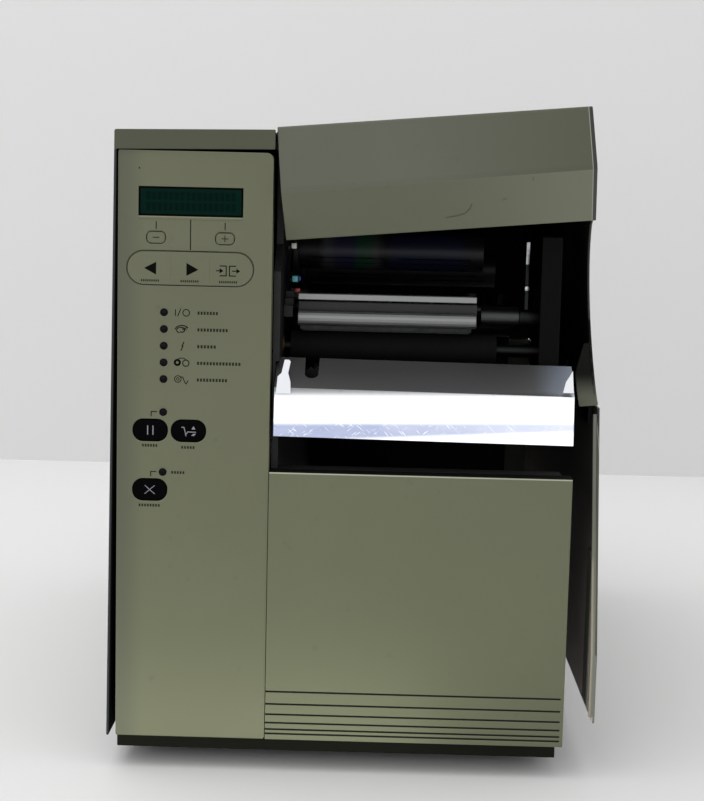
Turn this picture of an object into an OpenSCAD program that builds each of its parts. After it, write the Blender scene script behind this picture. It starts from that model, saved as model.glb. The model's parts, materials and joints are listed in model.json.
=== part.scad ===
// Industrial thermal label printer: electronics side on the left, media bay on the right,
// bi-fold media door that is hinged along the middle of the roof.
// Millimetres. X to the right seen from the front, Y to the back, Z up. The origin is on
// the surface the feet stand on, midway between the covers and midway front to back.

/* [Casing] */
// Overall depth of the casing, front panel to rear cover edge
body_d = 520; // [500:10:560]
// Height of the roof at the left wall
roof_z = 388; // [386:0.5:390]
// How much the roof rises from the left wall to the hinge line
roof_rise = 1.6; // [0:0.1:1.8]
// Outer face of the left wall at its lower edge
left_x = -140.5; // [-142:0.5:-139]
// How far the left wall leans in at its top
left_lean = 3.2; // [0:0.1:3.4]
// Outer face of the closed media door
door_x = 142.5; // [142:0.5:150]
// Thickness of the sheet steel covers
sheet = 1.5; // [1:0.1:1.6]
// Height of the lower edge of the panels above the floor
panel_z = 20.5; // [20:0.5:22]

/* [Control panel] */
// Left edge of the control panel
bezel_x0 = -135; // [-136:0.5:-134]
// Right edge of the control panel
bezel_x1 = -43.6; // [-44:0.1:-43.5]
// Middle column of the keys
key_x = -92; // [-93:0.1:-90]
// Distance between key columns
key_pitch = 23; // [22.5:0.1:23.2]
// Width of the round-ended push buttons
button_w = 20.8; // [20:0.1:22]
// Height of the round-ended push buttons
button_h = 13.3; // [13:0.1:14]
// Gap all round a key in its hole
key_gap = 0.3; // [0.2:0.05:0.35]
// Distance between indicator lamps
lamp_pitch = 10; // [9:0.1:10.5]
// Diameter of an indicator lens
lamp_d = 4.8; // [4:0.1:5]

/* [Front panel] */
// Height of the top edge of the lower front panel
front_top = 186.5; // [180:0.5:188]
// Right edge of the lower front panel
front_x1 = 139; // [136:0.5:139.5]
// Number of decorative grooves
grooves = 6; // [0:1:8]
// Height of a groove
groove_w = 0.9; // [0.8:0.1:1.6]

/* [Media door] */
// Angle by which the door stands ajar
ajar = 5; // [0:0.5:60]
// Height of the fold between the two leaves when the door is closed
fold_z = 210; // [205:1:220]
// Height of the front nose of the upper leaf
nose_h = 66.5; // [60:0.5:68]
// How far the front edge of the upper leaf is set back above the fold
relief_d = 56; // [45:1:58]

/* [Print mechanism] */
// Diameter of the platen roller
platen_d = 19; // [16:0.5:19.5]
// Length of the rubber of the platen roller
platen_len = 128; // [110:1:130]
// Diameter of the shafts
shaft_d = 8; // [6:0.5:8]
// Outer diameter of the ribbon spindles, for one-inch cores
spindle_d = 25.2; // [24:0.1:25.4]
// Outer radius of the media hanger
hanger_r = 19; // [16:0.5:20]
// Place of the sliding media guide along the hanger
guide_x = 104; // [20:1:106]

/* [Hidden] */
$fn = 48;

eps = 0.01;                       // overlap that joins the shapes of one piece
front_y = -body_d / 2;            // outer face of the lower front panel
back_y = body_d / 2;              // rear edge of the covers
bezel_y = front_y + 1;            // outer face of the control panel
bezel_t = 3;                      // moulding thickness of the front panels
bezel_back = bezel_y + bezel_t;   // inner face of the control panel
lip_h = 11.6;                       // height of the front lip of the cover
cover_x1 = -45.4;                 // right edge of the electronics cover
pan_z = 9;                        // underside of the base pan
pan_t = 2;
pan_top = pan_z + pan_t;
pan_x = 136;                      // half width of the base pan
pan_y0 = front_y + 14;
pan_y1 = back_y - 5;
return_back = pan_y0;             // rear edge of the returns of the front panels
pan_lip = 18;
frame_x0 = -43;                   // electronics side of the centre frame
frame_t = 4;
frame_x1 = frame_x0 + frame_t;    // media side of the centre frame
frame_y0 = front_y + 14.5;
frame_y1 = back_y - 5;            // meets the rear panel
frame_top = 383;
wall_y = front_y + 17;            // front wall of the media bay
rear_y = back_y - 5;              // inner face of the rear panel
rear_x0 = -135.5;                 // left edge of the rear panel
rear_x1 = 138;                    // right edge of the rear panel
paint = "#74765f";
paint_dark = "#5c5e4e";
steel = "#b9bcc0";
black = "#1b1c1c";
dark = "#3a3b3a";
alloy = "#8f9294";

// Control panel
key_row_z = 210;                  // pause and feed
cancel_z = 173.8;
pill_z = 307.2;
pill_w = 75.4;
pill_h = 20.4;
soft_z = 325.2;                   // minus and plus
soft_w = 11.3;
soft_h = 7.2;
soft_dx = 20.4;
lamp_x = -107.3;
lamp_z0 = 240.9;
lamps = [for (i = [0:4]) lamp_z0 + i * lamp_pitch];
pause_lamp_z = 221;
data_lamp_z = 184.6;
lcd_w = 62;
lcd_h = 17.4;
lcd_z = 346.5;
key_t = bezel_t + 0.3;            // a key stands 0.3 proud of the panel
board_y = bezel_back + 6;         // front of the control circuit board
board_t = 1.6;
travel_gap = 0.7;                 // stem to switch

// Mechanism axes, [y, z]
platen_c = [-206, 258];
motor_c = [-182, 172];
takeup_c = [-140, 316];
supply_c = [-24, 300];
pivot_c = [-130, 278];
latch_c = [-198, 278.5];
roller_c = [-78, 262];
roller_pin_d = 6;
dancer_c = [64, 236];
hanger_c = [140, 246];
deck_x1 = 124;
deck_y0 = -230;
deck_y1 = -120;
deck_z = 240;
plate_x0 = deck_x1;
plate_t = 4;
plate_x1 = plate_x0 + plate_t;
bush_d = 16;
bush_gap = 0.04;
head_z = platen_c[1] + platen_d / 2 + 0.4;
belt_t = 1.5;
belt_w = 8;
belt_gap = 0.1;
belt1_x = -64;                    // left edge of the motor belt
belt2_x = -78;                    // left edge of the take-up belt
pulley_big = 26;
pulley_small = 14;
board_x = frame_x0 - 14;          // frame side of the main board

// Door, drawn closed and then turned about the hinge line
hinge_x = -41;
hinge_z = 387.8;
knuckle_r = 3;
pin_r = 1.5;
door_top = hinge_z + 3.4;
nose_x0 = hinge_x - 0.6;
nose_crease_y = front_y - 5;
nose_crease_z = door_top - 37;
nose_z0 = door_top - nose_h;
nose_back_y = front_y + 14;
nose_t = 2.5;
leaf_bottom = panel_z - 1;
knuckle_len = 60;
knuckle_pitch = 124;
fold_r = 2;                       // radius of the knuckles of the fold
fold_x = door_x - sheet - 2.4;

// Basic shapes between two corners, rods along an axis and profiles pushed along an axis
module block(x, y, z) {
    translate([x[0], y[0], z[0]])
        cube([x[1] - x[0], y[1] - y[0], z[1] - z[0]]);
}
module rod_x(x0, x1, c, d) {
    translate([x0, c[0], c[1]]) rotate([0, 90, 0]) cylinder(d = d, h = x1 - x0);
}
module rod_y(y0, y1, x, z, d) {
    translate([x, y1, z]) rotate([90, 0, 0]) cylinder(d = d, h = y1 - y0);
}
module rod_z(z0, z1, x, y, d) {
    translate([x, y, z0]) cylinder(d = d, h = z1 - z0);
}
module along_y(y0, y1) {
    translate([0, y1, 0]) rotate([90, 0, 0]) linear_extrude(y1 - y0) children();
}
module along_x(x0, x1) {
    translate([x0, 0, 0]) rotate([90, 0, 90]) linear_extrude(x1 - x0) children();
}
module round_rect(w, h, r) {
    square([w - 2 * r, h], center = true);
    square([w, h - 2 * r], center = true);
    for (sx = [-1, 1]) for (sz = [-1, 1])
        translate([sx * (w / 2 - r), sz * (h / 2 - r)]) circle(r);
}
function arc(c, r, a0, a1, n) =
    [for (i = [0:n]) c + r * [cos(a0 + (a1 - a0) * i / n), sin(a0 + (a1 - a0) * i / n)]];

// ---------- Chassis ----------
// Folded steel tray that carries the whole machine
module base_pan() color(dark) difference() {
    union() {
        block([-pan_x, pan_x], [pan_y0, pan_y1], [pan_z, pan_top]);
        for (s = [-1, 1])
            block([s * pan_x - (s > 0 ? pan_t : 0), s * pan_x + (s < 0 ? pan_t : 0)],
                [pan_y0, pan_y1], [pan_z, pan_top + pan_lip]);
        block([-pan_x, pan_x], [pan_y0, pan_y0 + pan_t], [pan_z, pan_top + pan_lip]);
        block([-pan_x, pan_x], [pan_y1 - pan_t, pan_y1], [pan_z, pan_top + pan_lip]);
    }
    for (i = [0:7]) for (j = [0:1])
        translate([-118 + j * 34, -150 + i * 14, pan_z - 1]) cube([26, 5, pan_t + 2]);
}

// Four moulded feet
module rubber_feet() color(black)
    for (x = [-112, 112]) for (y = [front_y + 70, back_y - 45])
        translate([x, y, 0]) difference() {
            cylinder(d1 = 20, d2 = 26, h = pan_z);
            translate([0, 0, -1]) cylinder(d = 9, h = 5);
        }

// Upright cast plate between the electronics and the media bay
module centre_frame() color(alloy) difference() {
    union() {
        along_x(frame_x0, frame_x1) polygon([[frame_y0, pan_top + pan_lip],
            [frame_y0 + 4, pan_top + pan_lip], [frame_y0 + 4, pan_top], [frame_y1 - 3, pan_top],
            [frame_y1 - 3, pan_top + pan_lip], [frame_y1, pan_top + pan_lip],
            [frame_y1, frame_top], [frame_y0 + 20, frame_top], [frame_y0 + 20, 322],
            [frame_y0, 306]]);
        block([frame_x0 - 6, frame_x0 + eps], [frame_y0 + 20, frame_y1], [frame_top - 3, frame_top]);
        block([frame_x0 - 6, frame_x0 + eps], [frame_y0 + 4, frame_y1 - 3], [pan_top, pan_top + 3]);
        block([frame_x0 - 6, frame_x0 + eps], [frame_y1 - 3, frame_y1], [pan_top + pan_lip, frame_top]);
        for (c = [takeup_c, supply_c]) rod_x(frame_x0 - 5, frame_x0 + eps, c, 34);
        for (y = [20, 215]) for (z = [130, 310]) rod_x(board_x, frame_x0 + eps, [y, z], 9);
    }
    for (c = [platen_c, takeup_c, supply_c, pivot_c])
        rod_x(frame_x0 - 20, frame_x1 + 1, c, bush_d);
    block([chute_x0 - 0.3, frame_x1 + 1], [frame_y0 - 1, chute_top[0] + 4],
        [chute_z0 - 1, chute_top[1] + 1]);
    rod_x(frame_x0 - 1, frame_x1 + 1, dancer_c, shaft_d);
    rod_x(frame_x0 - 1, frame_x1 + 1, roller_c, roller_pin_d);
    translate([frame_x0 - 1, -180, 284]) cube([frame_t + 2, 26, 10]);
    for (i = [0:2]) translate([frame_x0 - 1, -110 + i * 110, 45]) cube([2.5, 80, 60]);
}

// Folded wall that closes the media bay behind the lower front panel
module bay_front_wall() color(black) {
    block([frame_x1, 134], [wall_y, wall_y + sheet], [pan_top, front_top - 2]);
    block([frame_x1, 134], [wall_y, wall_y + 14], [front_top - 2 - eps, front_top - 0.5]);
    block([frame_x1, 134], [wall_y, wall_y + 14], [pan_top, pan_top + sheet]);
}

// Back wall with the cut-outs for the inlet, the switch, the data ports and fan-fold labels
inlet_c = [-109.5, 62];
switch_c = [-109.5, 106];
parallel_z = 262;
serial_z = 176;
port_x = -84;
slot_x = [-20, 112];
slot_z = [60, 70];
module rear_panel() color(paint) difference() {
    block([rear_x0, rear_x1], [rear_y, rear_y + sheet], [pan_top, frame_top + 1]);
    along_hole(inlet_c, 28, 22);
    along_hole(switch_c, 20, 16);
    along_hole([port_x, parallel_z], 12, 64);
    along_hole([port_x, serial_z], 12, 34);
    block(slot_x, [rear_y - 1, rear_y + sheet + 1], slot_z);
    for (i = [0:7]) block([-130, -98], [rear_y - 1, rear_y + sheet + 1], [196 + i * 8, 200 + i * 8]);
}
module along_hole(c, w, h)
    block([c[0] - w / 2, c[0] + w / 2], [rear_y - 1, rear_y + sheet + 1],
        [c[1] - h / 2, c[1] + h / 2]);

// Left wall, roof and lips of the electronics side, folded from one sheet
module electronics_cover() color(paint) {
    left_top = left_x + left_lean;
    roof_end = roof_z + roof_rise;
    cover_y0 = front_y - 0.5;
    lip_t = 1.2;
    lip_x1 = cover_x1 + 2.8;
    along_y(cover_y0, back_y) polygon(concat(
        [[left_x, panel_z], [left_x + sheet, panel_z], [left_top + sheet, roof_z - sheet],
         [cover_x1, roof_end - sheet], [cover_x1, roof_end]],
        arc([left_top + 1.2, roof_z - 1.2], 1.2, 90, 180, 4)));
    along_y(cover_y0, cover_y0 + lip_t) polygon([[left_top + 0.6, roof_z - lip_h],
        [left_top + 0.6, roof_z - 1], [cover_x1, roof_end - 1], [cover_x1, roof_end],
        [lip_x1, roof_end], [lip_x1, roof_end - lip_h]]);
    along_y(back_y - sheet, back_y) polygon([[left_top + 0.6, roof_z - 8], [left_top + 0.6, roof_z - 1],
        [cover_x1, roof_end - 1], [cover_x1, roof_end - 8]]);
    along_y(back_y - sheet, back_y) polygon([[left_x + 0.5, panel_z], [left_top + 0.5, roof_z - 4],
        [left_top + 9, roof_z - 4], [left_x + 9, panel_z]]);
}

// Screws that hold the cover to the rear panel and the roof flange
module cover_screws() color(steel)
    for (z = [60, 200, 340]) rear_screw(left_x + 6, z);
module rear_screw(x, z) {
    rod_y(back_y, back_y + 2.2, x, z, 6.4);
    rod_y(rear_y + sheet, back_y - sheet, x, z, 3);
}

// ---------- Control panel ----------
bezel_top = roof_z - 12;
module bezel_plate_2d() polygon(concat(
    arc([bezel_x1 - 4, bezel_top - 4], 4, 0, 90, 6), arc([bezel_x0 + 1, bezel_top - 1], 1, 90, 180, 3),
    arc([bezel_x0 + 1, panel_z + 1], 1, 180, 270, 3),
    arc([bezel_x1 - 1.6, panel_z + 1.6], 1.6, 270, 360, 4)));
module key_2d(x, z, w, h, r, grow = 0)
    translate([x, z]) round_rect(w + 2 * grow, h + 2 * grow, r + grow);
module pill_2d(grow = 0) key_2d(key_x, pill_z, pill_w, pill_h, pill_h / 2 - 0.1, grow);
module button_2d(x, z, grow = 0) key_2d(x, z, button_w, button_h, 6.2, grow);

// Full-height moulding with the keys, the display and the indicator lamps
module control_bezel() color(paint) {
    difference() {
        union() {
            along_y(bezel_y, bezel_back) bezel_plate_2d();
            difference() {
                along_y(bezel_back - eps, return_back) bezel_plate_2d();
                block([bezel_x0 + 2, bezel_x1 - 2], [bezel_y, return_back + 1],
                    [panel_z + 2, bezel_top - 2]);
            }
            for (x = [bezel_x0 + 6, bezel_x1 - 7]) for (z = [170, 366])
                rod_y(bezel_back - eps, board_y, x, z, 6);
        }
        along_y(bezel_y - 1, bezel_back + 1) {
            button_2d(key_x - key_pitch, key_row_z, key_gap);
            button_2d(key_x, key_row_z, key_gap);
            button_2d(key_x - key_pitch, cancel_z, key_gap);
            for (s = [-1, 1]) key_2d(key_x + s * soft_dx, soft_z, soft_w, soft_h, 3, key_gap);
            pill_2d(key_gap);
            translate([key_x, lcd_z]) square([lcd_w, lcd_h], center = true);
            for (z = concat(lamps, [pause_lamp_z, data_lamp_z]))
                translate([lamp_x, z]) circle(d = lamp_d);
        }
    }
}

// Tinted pane, flush in its opening
module display_window() color("#0d2b22")
    along_y(bezel_y + 0.2, bezel_y + 2) translate([key_x, lcd_z]) square([lcd_w, lcd_h], center = true);

// Display module on the circuit board
module display_module() color(black) difference() {
    block([key_x - 36, key_x + 36], [bezel_back, board_y], [lcd_z - 14, lcd_z + 14]);
    block([key_x - 32, key_x + 32], [bezel_back - 1, bezel_back + 1], [lcd_z - 10, lcd_z + 10]);
}

// Seven flanged lenses pushed through from behind
module indicator_lenses() color("#20130f")
    for (z = concat(lamps, [pause_lamp_z, data_lamp_z])) {
        rod_y(bezel_y - 0.5, bezel_back + eps, lamp_x, z, lamp_d);
        rod_y(bezel_back, bezel_back + 1, lamp_x, z, lamp_d + 0.8);
        rod_y(bezel_back + 1 - eps, board_y, lamp_x, z, 3);
    }

// Circuit board behind the control panel, with a switch under each key
module control_board() color("#1e5a3a") {
    switch_t = board_y - bezel_back - 0.9 - 1.4 - travel_gap;
    block([bezel_x0 + 3.5, bezel_x1 - 4.5], [board_y, board_y + board_t], [163, 372]);
    for (k = key_centres) block([k[0] - 3, k[0] + 3], [board_y - switch_t, board_y + eps],
        [k[1] - 3, k[1] + 3]);
    block([-120, -70], [board_y + board_t - eps, board_y + 5], [228, 236]);
}
key_centres = [[key_x - key_pitch, key_row_z], [key_x, key_row_z], [key_x - key_pitch, cancel_z],
    [key_x - soft_dx, soft_z], [key_x + soft_dx, soft_z], [key_x - key_pitch - 1, pill_z],
    [key_x, pill_z], [key_x + key_pitch, pill_z]];

// A key: its cap in the panel, a flange behind the panel and the stem that meets the switch
module key_stack(k, w, h) {
    along_y(bezel_y - 0.3, bezel_back + 0.4) children();
    block([k[0] - w / 2, k[0] + w / 2], [bezel_back + 0.3, bezel_back + 1.1],
        [k[1] - h / 2, k[1] + h / 2]);
    rod_y(bezel_back + 1, bezel_back + 2.3, k[0], k[1], 3);
}
module push_button(i) color(black)
    key_stack(key_centres[i], button_w - 6, button_h + 1.6)
        button_2d(key_centres[i][0], key_centres[i][1]);
module soft_key(i) color(paint)
    key_stack(key_centres[i], soft_w - 3, soft_h + 1.6)
        key_2d(key_centres[i][0], key_centres[i][1], soft_w, soft_h, 2.6);
module pill_key(i, x0, x1) color(paint)
    key_stack(key_centres[i], 12, pill_h + 1.6)
        intersection() {
            pill_2d();
            translate([x0, pill_z - pill_h]) square([x1 - x0, 2 * pill_h]);
        }
pill_split = key_pitch / 2;
module pause_button() push_button(0);
module feed_button() push_button(1);
module cancel_button() push_button(2);
module minus_key() soft_key(3);
module plus_key() soft_key(4);
module previous_key() pill_key(5, key_x - pill_w, key_x - pill_split - 0.1);
module next_key() pill_key(6, key_x - pill_split + 0.1, key_x + pill_split - 0.1);
module setup_key() pill_key(7, key_x + pill_split + 0.1, key_x + pill_w);

// ---------- Front ----------
front_x0 = frame_x0 - 0.2;
function groove_z(i) = panel_z + 3.7 + 2.8 * i + 1.25 * i * (i - 1) / 2;

// Lower front panel with a band of grooves that close up towards the bottom
module front_panel() color(paint) difference() {
    union() {
        block([front_x0, front_x1], [front_y, front_y + bezel_t], [panel_z, front_top]);
        block([front_x0, front_x1], [front_y, return_back], [front_top - 2, front_top]);
        block([front_x0, front_x1], [front_y, return_back], [panel_z, panel_z + 2]);
        block([front_x1 - 2, front_x1], [front_y, return_back], [panel_z, front_top]);
    }
    for (i = [0:1:grooves - 1])
        block([front_x0 - 1, front_x1 - 2.2], [front_y - 1, front_y + 1.2],
            [groove_z(i) - groove_w / 2, groove_z(i) + groove_w / 2]);
}

// Polished sheet that turns the labels out: an upright apron, a sloping top and side flanges
chute_t = 1.2;
chute_x0 = -41;
chute_x1 = 138.3;
chute_z0 = 207;
chute_bend = [front_y + 1.5, 236];
chute_top = [front_y + 25, 251];
module label_chute() color(steel) difference() {
    union() {
        along_x(chute_x0, chute_x1) polygon([[front_y - 2, chute_z0], chute_bend, chute_top,
            chute_top + [0.6, -1.1], chute_bend + [1.2, -0.8], [front_y - 2 + chute_t, chute_z0]]);
        for (x = [chute_x0, chute_x1 - chute_t])
            along_x(x, x + chute_t) polygon([[front_y - 1.4, chute_z0], chute_bend + [0.5, -0.4],
                chute_top + [0, -0.5], chute_top + [3, -7], [front_y + 12, chute_z0 + 4],
                [front_y + 8, chute_z0]]);
        for (x = [-14, 104]) {
            block([x, x + 12], [chute_bend[0] + 8, deck_y0], [226, 227.2]);
            along_x(x, x + 12) polygon([[chute_bend[0] + 8, 226], [chute_bend[0] + 8, 240.2],
                [chute_bend[0] + 9.4, 241.1], [chute_bend[0] + 9.4, 226]]);
        }
    }
    block([-23.5, -15.1], [front_y + 14.2, front_y + 30], [230, 260]);
    rod_z(225, 260, -19.3, front_y + 14.2, 8.4);
}

// ---------- Print mechanism ----------
// Deck under the platen, a shallow inverted tray bolted to the centre frame
module print_deck() color(dark) difference() {
    union() {
        block([frame_x1, deck_x1], [deck_y0, deck_y1], [deck_z - 4, deck_z]);
        block([frame_x1, deck_x1], [deck_y0, deck_y0 + 3], [208, deck_z]);
        block([frame_x1, deck_x1], [deck_y1 - 3, deck_y1], [216, deck_z]);
        block([frame_x1, frame_x1 + 3], [deck_y0, deck_y1], [216, deck_z]);
        for (x = [-20, 96]) block([x, x + 8], [-192, -124], [deck_z - eps, deck_z + 6]);
    }
    for (i = [0:4]) block([-18 + i * 26, -2 + i * 26], [-180, -140], [deck_z - 6, deck_z + 1]);
}

// Plate that carries the outer ends of the shafts
module outer_side_plate() color(dark) {
    plate_flange = [118.7, 131];
    block(plate_flange, [deck_y0, deck_y0 + 1.5], [deck_z + 1, 330]);
    side_plate();
}
module side_plate() difference() {
    along_x(plate_x0, plate_x1) polygon([[deck_y0, 208], [-122, 208], [-116, 240], [-116, 286],
        [-122, 293], [-160, 295], [-168, 303], [-168, 322], [-176, 330], [deck_y0, 330]]);
    for (c = [platen_c, pivot_c]) rod_x(plate_x0 - 1, plate_x1 + 1, c, bush_d - 2);
    rod_x(plate_x0 - 1, plate_x1 + 1, latch_c, shaft_d);
    along_x(plate_x0 - 1, plate_x1 + 1) translate([-170, 226]) round_rect(70, 14, 6);
}

// Toothed bar the labels are torn against
module tear_off_bar() color(steel) {
    teeth = 38;
    pitch = (deck_x1 - frame_x1 - 8) / teeth;
    x0 = frame_x1 + 4;
    tear_z = 247;
    along_y(deck_y0 + 6, deck_y0 + 8.4) polygon(concat([[x0, deck_z]],
        [for (i = [0:2 * teeth]) [x0 + i * pitch / 2, i % 2 == 0 ? tear_z - 2 : tear_z]],
        [[x0 + teeth * pitch, deck_z]]));
    block([x0, x0 + teeth * pitch], [deck_y0 + 6, deck_y0 + 14], [deck_z, deck_z + 1.6]);
}

module platen_roller() color(black) difference() {
    rod_x(-34, -34 + platen_len, platen_c, platen_d);
    rod_x(-35, -33 + platen_len, platen_c, shaft_d);
}
module platen_shaft() color(steel) rod_x(belt2_x - 2, plate_x1 + 1, platen_c, shaft_d);

// Bushes of the platen, the spindles and the head pivot
module shaft_bearings() color("#b08d4a") {
    for (c = [platen_c, takeup_c, supply_c])
        bush(c == platen_c ? frame_x0 - 1 : frame_x0 - 6, frame_x1 + 1, c, bush_d,
            shaft_d + 2 * bush_gap);
    bush(frame_x0 - 1, frame_x1 + 1, pivot_c, bush_d, shaft_d);
    bush(plate_x0 - 1, plate_x1 + 0.8, platen_c, bush_d - 2, shaft_d + 2 * bush_gap);
    bush(plate_x0 - 1, plate_x1 + 0.8, pivot_c, bush_d - 2, shaft_d);
}
module bush(x0, x1, c, d, bore) difference() {
    rod_x(x0, x1, c, d);
    rod_x(x0 - 1, x1 + 1, c, bore);
}

// Flanged belt pulley, rims both sides of the belt
module pulley(x, c, d, bore) difference() {
    union() {
        rod_x(x - 1.2, x + belt_w + 1.2, c, d);
        for (s = [x - 1.6, x + belt_w + 0.4]) rod_x(s, s + 1.2, c, d + 4);
    }
    rod_x(x - 3, x + belt_w + 3, c, bore);
}
module platen_pulley() color(black) {
    pulley(belt1_x, platen_c, pulley_big, shaft_d);
    pulley(belt2_x, platen_c, pulley_small, shaft_d);
}
module motor_pulley() color(black) {
    pulley(belt1_x, motor_c, pulley_small, 4);
    rod_x(motor_x1 - 11, belt1_x + belt_w + 2.5, motor_c, 5);
}

// Stepping motor on four spacers off the centre frame
motor_x1 = -67.5;
module stepper_motor() color(dark) difference() {
    union() {
        along_x(motor_x1 - 44, motor_x1) translate(motor_c) round_rect(56, 56, 5);
        rod_x(motor_x1 - eps, motor_x1 + 1.6, motor_c, 38);
        for (dy = [-23.5, 23.5]) for (dz = [-23.5, 23.5])
            rod_x(motor_x1 - eps, frame_x0, motor_c + [dy, dz], 6);
    }
    rod_x(motor_x1 - 12, motor_x1 + 2, motor_c, 5 + 2 * bush_gap);
}

// A belt is the outline round its two pulleys less the same outline one thickness in
function tangent(c, r, a) = c + r * [cos(a), sin(a)];
module loop_2d(c1, r1, c2, r2) {
    d = norm(c2 - c1);
    a = atan2(c2[1] - c1[1], c2[0] - c1[0]);
    b = acos((r1 - r2) / d);
    translate(c1) circle(r1);
    translate(c2) circle(r2);
    polygon([tangent(c1, r1, a + b), tangent(c1, r1, a - b), tangent(c2, r2, a - b),
        tangent(c2, r2, a + b)]);
}
module belt(x, c1, d1, c2, d2) {
    r1 = d1 / 2 + belt_gap;
    r2 = d2 / 2 + belt_gap;
    along_x(x + 0.6, x + belt_w - 0.6) difference() {
        loop_2d(c1, r1 + belt_t, c2, r2 + belt_t);
        loop_2d(c1, r1, c2, r2);
    }
}
module platen_belt() color(black) belt(belt1_x, platen_c, pulley_big, motor_c, pulley_small);
module takeup_belt() color(black) belt(belt2_x, platen_c, pulley_small, takeup_c, pulley_big);

// Ribbon spindle: a core with two rows of three spring blades and a solid ring between the
// rows, a flange and a shaft through the frame
module spindle_strips(c, spans, inset, w, r, h)
    for (a = [0, 120, 240]) for (s = spans)
        translate([s[0] + inset, c[0], c[1]]) rotate([a, 0, 0])
            translate([0, -w / 2, r]) cube([s[1] - s[0] - 2 * inset, w, h]);
module spindle(c, x0, x1, shaft_x0) {
    middle = (x0 + x1) / 2;
    spans = [[x0 + 8, middle - 4], [middle + 4, x1 - 8]];
    difference() {
        rod_x(x0, x1, c, spindle_d);
        spindle_strips(c, spans, 0, 5, spindle_d / 2 - 2.2, 4);
        rod_x(x1 - 6, x1 + 1, c, spindle_d - 8);
    }
    spindle_strips(c, spans, 6, 3, spindle_d / 2 - 2.4, 2);
    rod_x(x0 - 3, x0 + eps, c, 44);
    rod_x(shaft_x0, x0, c, shaft_d);
}
module takeup_spindle() color("#4c5052") spindle(takeup_c, -33, 88, belt2_x - 2);
module takeup_pulley() color(black) pulley(belt2_x, takeup_c, pulley_big, shaft_d);
module supply_spindle() color("#4c5052") {
    spindle(supply_c, -33, 104, frame_x0 - 12);
    rod_x(frame_x0 - 12, frame_x0 - 8, supply_c, 26);
}

// Head carrier: a bracket on the pivot shaft that reaches forward over the platen
head_x0 = -29.5;
head_x1 = 81;
module head_carrier() color(dark) difference() {
    union() {
        block([head_x0, head_x1], [-216, -128], [278.5, 283]);
        block([head_x0, head_x1], [-217.5, -216 + eps], [280.7, 287 - eps]);
        rod_x(head_x0, head_x1, pivot_c, 15);
        for (x = [head_x0, head_x1 - 4])
            along_x(x, x + 4) polygon([[-214, 283], [-200, 293], [-150, 290], [-126, 284],
                [-130, 276], [-160, 278.6]]);
        for (i = [0:6]) block([head_x0 + 16 + i * 13, head_x0 + 19 + i * 13], [-200, -160], [282, 289]);
    }
    rod_x(head_x0 - 1, head_x1 + 1, pivot_c, shaft_d + 2 * bush_gap);
}

// Thermal head on its finned sink, with the heating line over the platen
module print_head() color(alloy) {
    block([head_x0 + 1, head_x1 - 3], [-213, -176], [head_z + 1.2, 278.5]);
    block([head_x0 + 2, head_x1 - 4], [-209, -190], [head_z, head_z + 1.2 + eps]);
}

// Bright cover strip and pressure bar across the front of the head
head_bar_x1 = 83;
module head_cover() color("#a6a7a6") {
    along_x(head_x0, head_bar_x1) {
        polygon(concat(arc([-219.5, 275.8], 5, 105, 255, 8), [[-216, 271], [-216, 280.6]]));
        polygon([[-222.5, 287], [-222, 290.7], [-213.5, 290.7], [-213.5, 287]]);
    }
    block([head_x0, head_bar_x1], [-216.1, -213], [272, 278.4]);
}

// Fixed shafts: head pivot, latch shaft with its sleeve, and the pin of the ribbon roller
latch_x0 = head_bar_x1 + 1.5;
lever_x0 = 108.4;
module fixed_shafts() color("#5a5b5b") {
    rod_x(frame_x0 - 1, plate_x1 + 0.8, pivot_c, shaft_d);
    rod_x(latch_x0, lever_x0 - 0.4, latch_c, 11.4);
    rod_x(lever_x0 - 1, plate_x1, latch_c, shaft_d);
    rod_x(frame_x0 - 1, 109.5, roller_c, roller_pin_d);
}

// Lever that lifts the head: a hub round the latch shaft, a thin arm and a finger tab
lever_top = 326;
module head_lever() color(steel) difference() {
    union() {
        rod_x(lever_x0, lever_x0 + 13, latch_c, 13);
        along_x(lever_x0 + 3, lever_x0 + 5.4) polygon([[latch_c[0] - 4, latch_c[1]],
            [latch_c[0] - 3, lever_top - 14], [latch_c[0] - 5, lever_top],
            [latch_c[0] + 11, lever_top], [latch_c[0] + 11, lever_top - 4],
            [latch_c[0] + 2, lever_top - 8], [latch_c[0] + 4, latch_c[1]]]);
    }
    rod_x(lever_x0 - 1, lever_x0 + 14, latch_c, shaft_d + 2 * bush_gap);
}

// Flat cable and plugs of the head
module head_cable() color("#c8c4b4") {
    block([-36.5, -31.5], [-174, -160], [286, 292]);
    block([frame_x0 - 6, -36.5 + eps], [-172, -162], [288, 289]);
    for (i = [0:2]) block([frame_x1, -33.6], [-204 + i * 9, -198 + i * 9], [276 + i * 4, 283 + i * 4]);
}

module ribbon_roller() color(steel) difference() {
    rod_x(-36, 112, roller_c, 12);
    rod_x(-37, 110, roller_c, roller_pin_d + 2 * bush_gap);
}

// Half-round hanger for the label roll, with a stop at its end
module hanger_2d(r) intersection() {
    circle(r);
    translate([-r, 0]) square(2 * r);
}
module media_hanger() color(alloy) {
    along_x(frame_x1, 122) translate(hanger_c) difference() {
        hanger_2d(hanger_r);
        translate([0, -1]) hanger_2d(hanger_r - 4);
    }
    along_x(118, 122) translate([hanger_c[0] - 8, hanger_c[1] + 6]) square([16, 22]);
    block([frame_x1, frame_x1 + 4], [hanger_c[0] - 26, hanger_c[0] + 26],
        [hanger_c[1] - 16, hanger_c[1] + 6]);
}

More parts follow.
